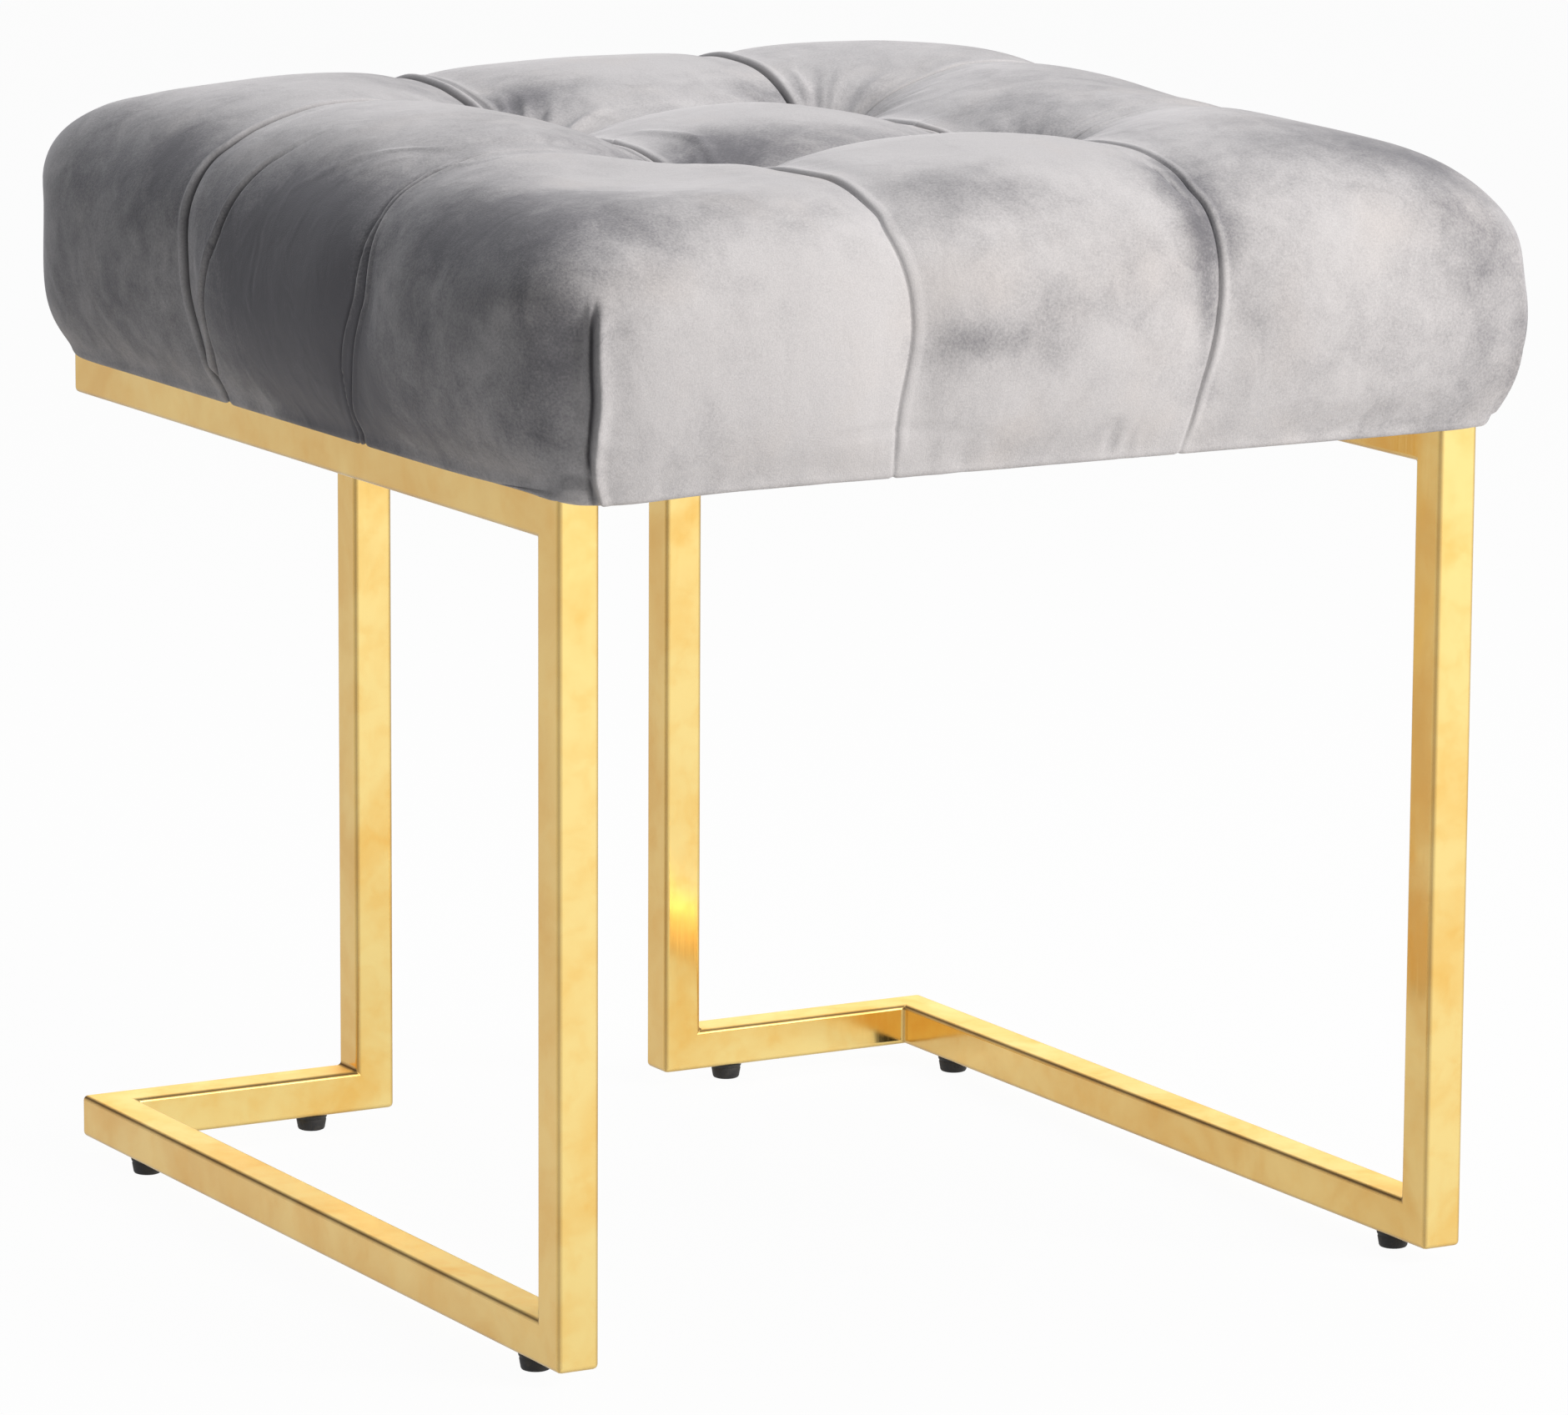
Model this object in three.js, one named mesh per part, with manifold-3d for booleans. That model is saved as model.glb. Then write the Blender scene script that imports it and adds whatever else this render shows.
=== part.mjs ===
// Stool with a biscuit-tufted velvet seat on two mirrored frames of polished square tube.
// Each side frame is a cantilever: it runs from the seat down the front corner, back
// along the floor, inboard along the rear, and up again as a rear leg.
// Millimetres, +Z up, front towards -Y, origin on the floor below the middle of the stool.

import * as THREE from 'three';
import { mergeVertices } from 'three/addons/utils/BufferGeometryUtils.js';
import Module from 'manifold-3d';

const wasm = await Module();
wasm.setup();

// Clearances
const fitGap = 0.3;
const screwClearance = 0.5;
const cutOverrun = 2;

// Square tube of the frame
const tubeSide = 20;
const tubeWall = 1.5;
const tubeCornerRadius = 2.4;
const tubeBoreRadius = 1;

// Frame sizes, outside to outside
const frameWidth = 464;
const frameDepth = 488;
const frameHeight = 380;
const returnLength = 157;

// Rubber feet and their screws
const footHeight = 8;
const footTopRadius = 7.8;
const footBottomRadius = 6.4;
const footEdgeRadius = 0.8;
const footBoreRadius = 2.1;
const footRecessRadius = 3.7;
const footRecessDepth = 4.2;
const footScrewRadius = 1.6;
const footScrewLength = 10;
const footScrewHeadRadius = 3.1;
const footScrewHeadHeight = 2;
const footFromFront = 40;
const footFromRear = 52;
const footFromRearLeg = 30;

// Tabs that the seat is screwed to
const tabWidth = 28;
const tabLength = 44;
const tabThickness = 3;
const tabCornerRadius = 6;
const tabHoleInset = 15;
const tabFromEnds = 92;

// Seat screws and tee nuts
const seatScrewRadius = 3;
const seatScrewLength = 16;
const seatScrewHeadRadius = 5.6;
const seatScrewHeadHeight = 3.3;
const seatScrewHexRadius = 2.2;
const seatScrewHexDepth = 2;
const teeNutFlangeRadius = 9.5;
const teeNutFlangeThickness = 1.4;
const teeNutBarrelRadius = 4.2;
const teeNutBarrelLength = 8.6;

// Plywood board under the seat, set in from the cover's bulge
const boardInsetX = 24;
const boardInsetY = 21;
const boardThickness = 12;
const boardCornerRadius = 26;

// Dust cover stapled under the board
const dustCoverInset = 8;
const dustCoverThickness = 0.6;

// Foam on the board
const foamOverhang = 3;
const foamThickness = 60;
const foamEdgeRadius = 8;

// Velvet cover with its wadding; its bulge overhangs the frame
const seatSideOverhang = 20;
const seatFrontOverhang = 30;
const seatRearOverhang = 20;
const seatBulgeHeight = 62;
const seatShoulderHeight = 114;
const seatRoll = 62;
const seatRollExponent = 2.7;
const seatCrown = 20;
const seatBottomInset = 14;
const seatCornerPull = 9;
const seatCornerExponent = 10;
const hemThickness = 1.2;
const hemWidth = 25;

// Tufts and the folds between them
const tuftSpacingX = 160;
const tuftSpacingY = 176;
const tuftDepth = 30;
const tuftRadius = 22;
const foldDepthInner = 22;
const foldDepthOuter = 8;
const foldExponent = 2.3;
const sidePleatDepth = 7;

// Twines that pull the tufts down, and the washers that hold them
const twineRadius = 1.2;
const twineHoleRadius = 3.2;
const washerRadius = 9;
const washerThickness = 1;

// Facet counts
const cornerSegments = 3;
const footSegments = 20;
const screwSegments = 14;
const hexSides = 6;
const rollRings = 4;
const skirtRings = 3;

// Forms of a screw's pan head and tip, and of the crown at the seat's edge
const panFlatShare = 0.7;
const panRimShare = 0.55;
const tipShare = 0.5;
const crownEdgeShare = 0.25;

// Where the grid lines of the cover lie between the middle, the fold and the shoulder
const innerPanelShares = [0, 0.42, 0.76];
const outerPanelShares = [0, 0.14, 0.36, 0.66, 0.86, 1];
const foldReachShare = 0.55;
const rollStartAngle = THREE.MathUtils.degToRad(64);

// Heights and planes worked out from the sizes above
const seatWidth = frameWidth + 2 * seatSideOverhang;
const seatDepth = frameDepth + seatFrontOverhang + seatRearOverhang;
const boardWidth = seatWidth - 2 * boardInsetX;
const boardDepth = seatDepth - 2 * boardInsetY;
const frameSetback = (seatFrontOverhang - seatRearOverhang) / 2;
const frameTop = footHeight + frameHeight;
const frameFront = frameSetback - frameDepth / 2;
const frameRear = frameSetback + frameDepth / 2;
const tubeHalf = tubeSide / 2;
const sideLine = frameWidth / 2 - tubeHalf;
const rearLegLine = frameWidth / 2 - returnLength + tubeHalf;
const tabX = frameWidth / 2 - tubeSide - fitGap - tabHoleInset;
const tabPlaces = [
  { label: 'front', y: frameFront + tabFromEnds },
  { label: 'rear', y: frameRear - tabFromEnds },
];
const dustCoverBottom = frameTop + fitGap;
const seatBottom = dustCoverBottom + dustCoverThickness + fitGap;
const boardBottom = seatBottom + hemThickness + fitGap;
const boardTop = boardBottom + boardThickness;
const foamBottom = boardTop + fitGap;
const foamTop = foamBottom + foamThickness;
const tuftPlaces = [
  { label: 'front_left', x: -tuftSpacingX / 2, y: -tuftSpacingY / 2 },
  { label: 'front_right', x: tuftSpacingX / 2, y: -tuftSpacingY / 2 },
  { label: 'rear_left', x: -tuftSpacingX / 2, y: tuftSpacingY / 2 },
  { label: 'rear_right', x: tuftSpacingX / 2, y: tuftSpacingY / 2 },
];
const seatScrewPlaces = tabPlaces.flatMap(({ label, y }) => [
  { label: `${label}_left`, x: -tabX, y },
  { label: `${label}_right`, x: tabX, y },
]);

// Materials
const brass = new THREE.MeshStandardMaterial({ color: 0xe3b95c, roughness: 0.16, metalness: 1 });
const zincSteel = new THREE.MeshStandardMaterial({ color: 0xb4b6b8, roughness: 0.35, metalness: 1 });
const blackRubber = new THREE.MeshStandardMaterial({ color: 0x17171a, roughness: 0.7, metalness: 0 });
const plywood = new THREE.MeshStandardMaterial({ color: 0xc9a877, roughness: 0.75, metalness: 0 });
const foam = new THREE.MeshStandardMaterial({ color: 0xe9e2c6, roughness: 0.95, metalness: 0 });
const velvet = new THREE.MeshStandardMaterial({ color: 0x8d8c8f, roughness: 0.85, metalness: 0 });
const blackCloth = new THREE.MeshStandardMaterial({ color: 0x1d1d1f, roughness: 0.95, metalness: 0 });
const twine = new THREE.MeshStandardMaterial({ color: 0xd8d2c4, roughness: 0.9, metalness: 0 });

const stool = new THREE.Group();

// Adds one named piece to the stool
function addPiece(name, geometry, material, matrix = new THREE.Matrix4()) {
  const mesh = new THREE.Mesh(geometry, material);
  mesh.name = name;
  mesh.applyMatrix4(matrix);
  stool.add(mesh);
}

// Closed geometry as a solid that can be joined and cut
function toSolid(geometry) {
  const bare = new THREE.BufferGeometry();
  bare.setAttribute('position', geometry.getAttribute('position').clone());
  if (geometry.index) bare.setIndex(geometry.index.clone());
  const merged = mergeVertices(bare);
  return new wasm.Manifold(new wasm.Mesh({
    numProp: 3,
    vertProperties: new Float32Array(merged.getAttribute('position').array),
    triVerts: new Uint32Array(merged.index.array),
  }));
}

// Solid back as a geometry
function toGeometry(solid) {
  const mesh = solid.getMesh();
  const geometry = new THREE.BufferGeometry();
  geometry.setAttribute('position', new THREE.BufferAttribute(mesh.vertProperties, 3));
  geometry.setIndex(new THREE.BufferAttribute(mesh.triVerts, 1));
  geometry.computeVertexNormals();
  return geometry;
}

// Cuts each tool geometry out of a body geometry
function cut(body, tools) {
  let solid = toSolid(body);
  for (const tool of tools) solid = solid.subtract(toSolid(tool));
  return toGeometry(solid);
}

// Upright cylinder from one height to another
function post(radius, bottom, top, x, y, sides = screwSegments) {
  const geometry = new THREE.CylinderGeometry(radius, radius, top - bottom, sides);
  geometry.rotateX(Math.PI / 2);
  geometry.translate(x, y, (bottom + top) / 2);
  return geometry;
}

// Traces a rectangle with round corners, centred on the origin, on a shape or a path
function traceRoundedRectangle(path, width, depth, radius) {
  const x = width / 2 - radius;
  const y = depth / 2 - radius;
  path.absarc(x, -y, radius, -Math.PI / 2, 0);
  path.absarc(x, y, radius, 0, Math.PI / 2);
  path.absarc(-x, y, radius, Math.PI / 2, Math.PI);
  path.absarc(-x, -y, radius, Math.PI, Math.PI * 1.5);
  path.closePath();
  return path;
}

// Flat plate with round corners and any round holes, from one height to another
function plate(width, depth, radius, bottom, top, holes = [], segments = cornerSegments * 2) {
  const outline = traceRoundedRectangle(new THREE.Shape(), width, depth, radius);
  for (const hole of holes) {
    const circle = new THREE.Path();
    circle.absarc(hole.x, hole.y, hole.radius, 0, Math.PI * 2, true);
    outline.holes.push(circle);
  }
  const geometry = new THREE.ExtrudeGeometry(outline, {
    depth: top - bottom, bevelEnabled: false, curveSegments: segments,
  });
  geometry.translate(0, 0, bottom);
  return geometry;
}

// Round piece whose closed outline of [radius, height] points turns about the Z axis
function turned(outline, segments) {
  const points = outline.map(([radius, height]) => new THREE.Vector2(radius, height));
  const closed = [...points, points[0].clone()];
  const geometry = new THREE.LatheGeometry(closed, segments);
  geometry.rotateX(Math.PI / 2);
  return geometry;
}

// Square tube along local +Z, its full length on its outer faces. An end's mitre names the
// local direction of the full-length side; the opposite side is shorter by the tube's side.
function squareTube(length, startMitre, endMitre, holes = []) {
  const section = traceRoundedRectangle(new THREE.Shape(), tubeSide, tubeSide, tubeCornerRadius);
  const bore = tubeSide - 2 * tubeWall;
  section.holes.push(traceRoundedRectangle(new THREE.Path(), bore, bore, tubeBoreRadius));
  const geometry = new THREE.ExtrudeGeometry(section, {
    depth: length, bevelEnabled: false, curveSegments: cornerSegments,
  });
  const position = geometry.getAttribute('position');
  for (let i = 0; i < position.count; i += 1) {
    const atEnd = position.getZ(i) > length / 2;
    const mitre = atEnd ? endMitre : startMitre;
    const across = position.getX(i) * mitre.x + position.getY(i) * mitre.y;
    const setBack = (mitre.x || mitre.y ? tubeHalf - across : 0) + fitGap / 2;
    position.setZ(i, atEnd ? length - setBack : setBack);
  }
  geometry.computeVertexNormals();
  return holes.length ? cut(geometry, holes) : geometry;
}

// Matrix that lays a tube's local Z along a direction, with local X towards a second one
function along(start, direction, localX) {
  const z = new THREE.Vector3(...direction);
  const x = new THREE.Vector3(...localX);
  const y = new THREE.Vector3().crossVectors(z, x);
  return new THREE.Matrix4().makeBasis(x, y, z).setPosition(...start);
}

const squareEnd = { x: 0, y: 0 };
const mitreToX = { x: 1, y: 0 };

// Hole for a foot screw through the wall on a tube's local +X side
function footScrewHole(distance) {
  const geometry = new THREE.CylinderGeometry(
    footScrewRadius + fitGap, footScrewRadius + fitGap, tubeWall + 2 * cutOverrun, screwSegments,
  );
  geometry.rotateZ(Math.PI / 2);
  geometry.translate(tubeHalf - tubeWall / 2, 0, distance);
  return geometry;
}

// The five tubes of one side frame; side is -1 on the left and 1 on the right
function addSideFrame(label, side) {
  const floorLine = footHeight + tubeHalf;
  const x = side * sideLine;
  const rearLine = frameRear - tubeHalf;

  const frontLeg = squareTube(frameHeight, mitreToX, mitreToX);
  addPiece(`${label}_front_leg`, frontLeg, brass,
    along([x, frameFront + tubeHalf, footHeight], [0, 0, 1], [0, -1, 0]));

  const floorHoles = [footFromFront, frameDepth - footFromRear].map(footScrewHole);
  const floorRail = squareTube(frameDepth, mitreToX, { x: 0, y: -side }, floorHoles);
  addPiece(`${label}_floor_rail`, floorRail, brass,
    along([x, frameFront, floorLine], [0, 1, 0], [0, 0, -1]));

  const returnHole = footScrewHole(returnLength - tubeHalf - footFromRearLeg);
  const returnRail = squareTube(returnLength, { x: 0, y: -side }, mitreToX, [returnHole]);
  addPiece(`${label}_return_rail`, returnRail, brass,
    along([side * frameWidth / 2, rearLine, floorLine], [-side, 0, 0], [0, 0, -1]));

  const rearLeg = squareTube(frameHeight - tubeSide, mitreToX, squareEnd);
  addPiece(`${label}_rear_leg`, rearLeg, brass,
    along([side * rearLegLine, rearLine, footHeight], [0, 0, 1], [-side, 0, 0]));

  const seatRail = squareTube(frameDepth, mitreToX, { x: 0, y: side });
  addPiece(`${label}_seat_rail`, seatRail, brass,
    along([x, frameFront, frameTop - tubeHalf], [0, 1, 0], [0, 0, 1]));
}

// The rail under the rear of the seat, which joins the side frames and caps the rear legs
function addRearSeatRail() {
  const rail = squareTube(frameWidth, mitreToX, mitreToX);
  addPiece('rear_seat_rail', rail, brass,
    along([-frameWidth / 2, frameRear - tubeHalf, frameTop - tubeHalf], [1, 0, 0], [0, 1, 0]));
}

// Tapered rubber foot with a recess underneath for its screw head
function footGeometry() {
  const edge = footEdgeRadius;
  return turned([
    [footBoreRadius, footRecessDepth],
    [footRecessRadius, footRecessDepth],
    [footRecessRadius, 0],
    [footBottomRadius - edge, 0],
    [footBottomRadius, edge],
    [footTopRadius, footHeight - fitGap],
    [footBoreRadius, footHeight - fitGap],
  ], footSegments);
}

// Pan-head screw, its head's underside at height zero and its shank upwards
function screwGeometry(radius, length, headRadius, headHeight) {
  return turned([
    [0, -headHeight],
    [headRadius * panFlatShare, -headHeight],
    [headRadius, -headHeight * panRimShare],
    [headRadius, 0],
    [radius, 0],
    [radius, length - radius * tipShare],
    [radius * tipShare, length],
    [0, length],
  ], screwSegments);
}

// Six feet under the floor rails and the return rails, each on its own screw
function addFeet() {
  const screw = screwGeometry(
    footScrewRadius, footScrewLength, footScrewHeadRadius, footScrewHeadHeight,
  );
  for (const [label, side] of [['left', -1], ['right', 1]]) {
    const places = [
      ['front', side * sideLine, frameFront + footFromFront],
      ['rear', side * sideLine, frameRear - footFromRear],
      ['return', side * (rearLegLine + footFromRearLeg), frameRear - tubeHalf],
    ];
    for (const [place, x, y] of places) {
      const seat = new THREE.Matrix4().makeTranslation(x, y, 0);
      addPiece(`foot_${label}_${place}`, footGeometry(), blackRubber, seat);
      const raised = new THREE.Matrix4().makeTranslation(x, y, footRecessDepth - fitGap);
      addPiece(`foot_screw_${label}_${place}`, screw.clone(), zincSteel, raised);
    }
  }
}

// Drilled tabs welded inside the seat rails, flush with their tops
function addTabs() {
  for (const [label, side] of [['left', -1], ['right', 1]]) {
    for (const place of tabPlaces) {
      const hole = {
        x: side * (tabWidth / 2 - tabHoleInset), y: 0, radius: seatScrewRadius + screwClearance,
      };
      const tab = plate(tabWidth, tabLength, tabCornerRadius,
        frameTop - tabThickness, frameTop, [hole], cornerSegments);
      const x = side * (frameWidth / 2 - tubeSide - fitGap - tabWidth / 2);
      addPiece(`seat_tab_${place.label}_${label}`, tab, brass,
        new THREE.Matrix4().makeTranslation(x, place.y, 0));
    }
  }
}

// Screws up through the tabs into tee nuts that are let into the top of the board
function addSeatFixings() {
  const blank = screwGeometry(
    seatScrewRadius, seatScrewLength, seatScrewHeadRadius, seatScrewHeadHeight,
  );
  const hexTop = seatScrewHexDepth - seatScrewHeadHeight;
  const hexBottom = -seatScrewHeadHeight - cutOverrun;
  const screw = cut(blank, [post(seatScrewHexRadius, hexBottom, hexTop, 0, 0, hexSides)]);
  const bore = seatScrewRadius + fitGap;
  const teeNut = turned([
    [bore, -teeNutFlangeThickness - teeNutBarrelLength],
    [teeNutBarrelRadius, -teeNutFlangeThickness - teeNutBarrelLength],
    [teeNutBarrelRadius, -teeNutFlangeThickness],
    [teeNutFlangeRadius, -teeNutFlangeThickness],
    [teeNutFlangeRadius, 0],
    [bore, 0],
  ], screwSegments);
  for (const { label, x, y } of seatScrewPlaces) {
    addPiece(`seat_screw_${label}`, screw.clone(), zincSteel,
      new THREE.Matrix4().makeTranslation(x, y, frameTop - tabThickness - fitGap));
    addPiece(`tee_nut_${label}`, teeNut.clone(), zincSteel,
      new THREE.Matrix4().makeTranslation(x, y, boardTop));
  }
}

// Plywood board, drilled for the twines and the tee nuts
function addBoard() {
  const holes = [
    ...tuftPlaces.map(({ x, y }) => ({ x, y, radius: twineHoleRadius })),
    ...seatScrewPlaces.map(({ x, y }) => ({ x, y, radius: teeNutBarrelRadius + fitGap })),
  ];
  const blank = plate(boardWidth, boardDepth, boardCornerRadius, boardBottom, boardTop, holes);
  const recessBottom = boardTop - teeNutFlangeThickness - fitGap;
  const recesses = seatScrewPlaces.map(({ x, y }) => (
    post(teeNutFlangeRadius + fitGap, recessBottom, boardTop + cutOverrun, x, y)
  ));
  addPiece('seat_board', cut(blank, recesses), plywood);
}

// Thin cloth under the board, holed where the seat screws pass
function addDustCover() {
  const holes = seatScrewPlaces.map(({ x, y }) => (
    { x, y, radius: seatScrewRadius + screwClearance }
  ));
  const sheet = plate(boardWidth - 2 * dustCoverInset, boardDepth - 2 * dustCoverInset,
    boardCornerRadius - dustCoverInset, dustCoverBottom, dustCoverBottom + dustCoverThickness,
    holes);
  addPiece('dust_cover', sheet, blackCloth);
}

// Outline of the foam, grown all round by a margin, as a block with rounded top edges
function foamBlock(margin, bottom, top) {
  const width = boardWidth + 2 * foamOverhang;
  const depth = boardDepth + 2 * foamOverhang;
  const inset = foamEdgeRadius;
  const outline = traceRoundedRectangle(new THREE.Shape(),
    width - 2 * inset, depth - 2 * inset, boardCornerRadius + foamOverhang - inset);
  const geometry = new THREE.ExtrudeGeometry(outline, {
    depth: top - bottom - 2 * inset,
    bevelEnabled: true,
    bevelThickness: inset + margin,
    bevelSize: inset + margin,
    bevelSegments: cornerSegments,
    curveSegments: cornerSegments,
  });
  geometry.translate(0, 0, bottom + inset);
  return geometry;
}

// Foam block with holes for the twines
function addFoam() {
  const block = foamBlock(0, foamBottom, foamTop);
  const holes = tuftPlaces.map(({ x, y }) => (
    post(twineHoleRadius, foamBottom - cutOverrun, foamTop + cutOverrun, x, y)
  ));
  addPiece('foam_block', cut(block, holes), foam);
}

// Half of a row of grid lines, from the middle to the shoulder, as shares of the half size
function gridShares(foldShare) {
  const inner = innerPanelShares.map((share) => share * foldShare);
  const outer = outerPanelShares.map((share) => foldShare + share * (1 - foldShare));
  const half = [...inner, ...outer];
  return [...half.slice(1).reverse().map((share) => -share), ...half];
}

// How far a share lies into the fold: 1 on the fold line, 0 well inside a panel
function foldAt(share, foldShare) {
  const distance = Math.abs(Math.abs(share) - foldShare);
  const inside = Math.abs(share) < foldShare;
  const reach = inside ? foldShare : (1 - foldShare) * foldReachShare;
  return (1 - Math.min(1, distance / reach)) ** foldExponent;
}

// Depth of a fold at a share along it: deepest between the tufts, shallow at the edges
function foldDepthAt(share, foldShare) {
  const beyond = Math.max(0, Math.abs(share) - foldShare) / (1 - foldShare);
  return foldDepthOuter + (foldDepthInner - foldDepthOuter) * (1 - beyond) ** 2;
}

// Height of the rolled-over edge at an inset from the bulge, as a share of the full height
function rollShareAt(insetX, insetY) {
  const ax = Math.max(0, 1 - insetX / seatRoll);
  const ay = Math.max(0, 1 - insetY / seatRoll);
  const nearEdge = Math.min(1, (ax ** 4 + ay ** 4) ** 0.25);
  return (1 - nearEdge ** seatRollExponent) ** (1 / seatRollExponent);
}

// Point of a rounded outline, for grid shares u and v of its half sizes
function outlinePoint(u, v, halfX, halfY) {
  const pull = seatCornerPull * Math.abs(u * v) ** seatCornerExponent;
  return [u * halfX - Math.sign(u) * pull, v * halfY - Math.sign(v) * pull];
}

// Closed outer form of the tufted cover: a grid over the top, and rings down the sides
function coverForm() {
  const startCos = Math.cos(rollStartAngle) ** (2 / seatRollExponent);
  const shoulderInset = seatRoll * (1 - startCos);
  const halfX = seatWidth / 2 - shoulderInset;
  const halfY = seatDepth / 2 - shoulderInset;
  const foldX = tuftSpacingX / 2 / halfX;
  const foldY = tuftSpacingY / 2 / halfY;
  const us = gridShares(foldX);
  const vs = gridShares(foldY);
  const bulge = seatBottom + seatBulgeHeight;
  const roll = seatShoulderHeight - seatBulgeHeight;
  const count = us.length;
  const positions = [];
  const indices = [];

  const addPoint = (x, y, z) => positions.push(x, y, z) / 3 - 1;
  const addQuad = (a, b, c, d) => indices.push(a, b, c, a, c, d);

  const top = vs.map((v) => us.map((u) => {
    const [x, y] = outlinePoint(u, v, halfX, halfY);
    const crown = seatCrown * (1 - u * u) * (1 - v * v) + seatCrown * crownEdgeShare;
    const rolled = roll * rollShareAt(seatWidth / 2 - Math.abs(x), seatDepth / 2 - Math.abs(y));
    const fold = Math.max(
      foldAt(u, foldX) * foldDepthAt(v, foldY),
      foldAt(v, foldY) * foldDepthAt(u, foldX),
    );
    const reach = Math.hypot(
      Math.abs(x) - tuftSpacingX / 2, Math.abs(y) - tuftSpacingY / 2,
    ) / tuftRadius;
    const pit = tuftDepth * Math.exp(-reach * reach);
    return addPoint(x, y, bulge + rolled + crown - fold - pit);
  }));
  for (let j = 0; j + 1 < count; j += 1) {
    for (let i = 0; i + 1 < count; i += 1) {
      addQuad(top[j][i], top[j][i + 1], top[j + 1][i + 1], top[j + 1][i]);
    }
  }

  // Border of the grid, anticlockwise from above
  const last = count - 1;
  const border = [];
  for (let i = 0; i < last; i += 1) border.push([i, 0]);
  for (let j = 0; j < last; j += 1) border.push([last, j]);
  for (let i = last; i > 0; i -= 1) border.push([i, last]);
  for (let j = last; j > 0; j -= 1) border.push([0, j]);

  const profile = [];
  for (let k = 1; k <= rollRings; k += 1) {
    const angle = rollStartAngle * (1 - k / rollRings);
    profile.push({
      inset: seatRoll * (1 - Math.cos(angle) ** (2 / seatRollExponent)),
      above: Math.sin(angle) ** (2 / seatRollExponent)
        / Math.sin(rollStartAngle) ** (2 / seatRollExponent),
      below: 0,
    });
  }
  for (let k = 1; k <= skirtRings; k += 1) {
    const share = k / skirtRings;
    profile.push({ inset: seatBottomInset * share ** 2, above: 0, below: share });
  }

  let upper = border.map(([i, j]) => top[j][i]);
  for (const { inset, above, below } of profile) {
    const lower = border.map(([i, j]) => {
      const u = us[i];
      const v = vs[j];
      const onSide = i === 0 || i === last;
      const foldShare = onSide ? foldAt(v, foldY) : foldAt(u, foldX);
      const pleat = sidePleatDepth * foldShare * (1 - below);
      const [x, y] = outlinePoint(u, v,
        seatWidth / 2 - inset - (onSide ? pleat : 0),
        seatDepth / 2 - inset - (onSide ? 0 : pleat));
      const rise = positions[3 * top[j][i] + 2] - bulge;
      return addPoint(x, y, bulge + rise * above - seatBulgeHeight * below);
    });
    for (let k = 0; k < border.length; k += 1) {
      const next = (k + 1) % border.length;
      addQuad(lower[k], lower[next], upper[next], upper[k]);
    }
    upper = lower;
  }

  const middle = addPoint(0, 0, seatBottom);
  for (let k = 0; k < upper.length; k += 1) {
    indices.push(middle, upper[(k + 1) % upper.length], upper[k]);
  }

  const geometry = new THREE.BufferGeometry();
  geometry.setAttribute('position', new THREE.Float32BufferAttribute(positions, 3));
  geometry.setIndex(indices);
  return geometry;
}

// Velvet cover and wadding round the foam and the board, open below inside its hem
function addCover() {
  const boardSpace = plate(boardWidth + 2 * fitGap, boardDepth + 2 * fitGap,
    boardCornerRadius + fitGap, boardBottom - fitGap, foamBottom + foamEdgeRadius);
  const foamSpace = foamBlock(fitGap, foamBottom, foamTop);
  const opening = plate(boardWidth - 2 * hemWidth, boardDepth - 2 * hemWidth,
    boardCornerRadius, seatBottom - cutOverrun, boardTop);
  addPiece('velvet_cover', cut(coverForm(), [boardSpace, foamSpace, opening]), velvet);
}

// Twine down from each tuft through the foam and the board, and the washer that holds it
function addTuftPulls() {
  const washerBottom = boardBottom - fitGap - washerThickness;
  const washer = turned([
    [twineRadius + fitGap, 0],
    [washerRadius, 0],
    [washerRadius, washerThickness],
    [twineRadius + fitGap, washerThickness],
  ], screwSegments);
  for (const { label, x, y } of tuftPlaces) {
    addPiece(`tuft_twine_${label}`, post(twineRadius, washerBottom, foamTop, x, y), twine);
    addPiece(`tuft_washer_${label}`, washer.clone(), zincSteel,
      new THREE.Matrix4().makeTranslation(x, y, washerBottom));
  }
}

addSideFrame('left', -1);
addSideFrame('right', 1);
addRearSeatRail();
addFeet();
addTabs();
addSeatFixings();
addBoard();
addDustCover();
addFoam();
addCover();
addTuftPulls();

export default stool;
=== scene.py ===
"""Looks of a stool with a tufted velvet seat on two mirrored frames of polished square tube.

Sizes in the classes are in millimetres, as in the model's source; meshes are made in metres.
"""

import logging
import math
from dataclasses import dataclass
from enum import Enum
from typing import Any, Callable, Iterable, Optional, Sequence, Union

import bmesh
import bpy
import numpy as np
from mathutils import Matrix, Vector


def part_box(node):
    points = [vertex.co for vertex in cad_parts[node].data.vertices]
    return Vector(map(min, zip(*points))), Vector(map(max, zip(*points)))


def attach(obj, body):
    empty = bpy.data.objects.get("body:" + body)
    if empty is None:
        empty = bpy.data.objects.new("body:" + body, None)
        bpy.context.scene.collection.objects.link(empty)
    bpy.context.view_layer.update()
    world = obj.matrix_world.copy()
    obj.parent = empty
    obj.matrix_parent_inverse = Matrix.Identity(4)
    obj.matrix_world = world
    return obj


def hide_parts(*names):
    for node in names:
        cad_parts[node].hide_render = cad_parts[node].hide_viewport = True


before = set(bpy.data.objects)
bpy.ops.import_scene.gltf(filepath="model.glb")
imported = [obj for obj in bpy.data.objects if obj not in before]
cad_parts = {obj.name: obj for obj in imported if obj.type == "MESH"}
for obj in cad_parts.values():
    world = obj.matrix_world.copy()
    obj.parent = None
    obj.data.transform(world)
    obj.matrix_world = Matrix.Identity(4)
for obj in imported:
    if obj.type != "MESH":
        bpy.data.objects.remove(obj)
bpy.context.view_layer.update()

ROOT = "root"
MM = 0.001
HALF = 0.5
TINY = 1e-6
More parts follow.
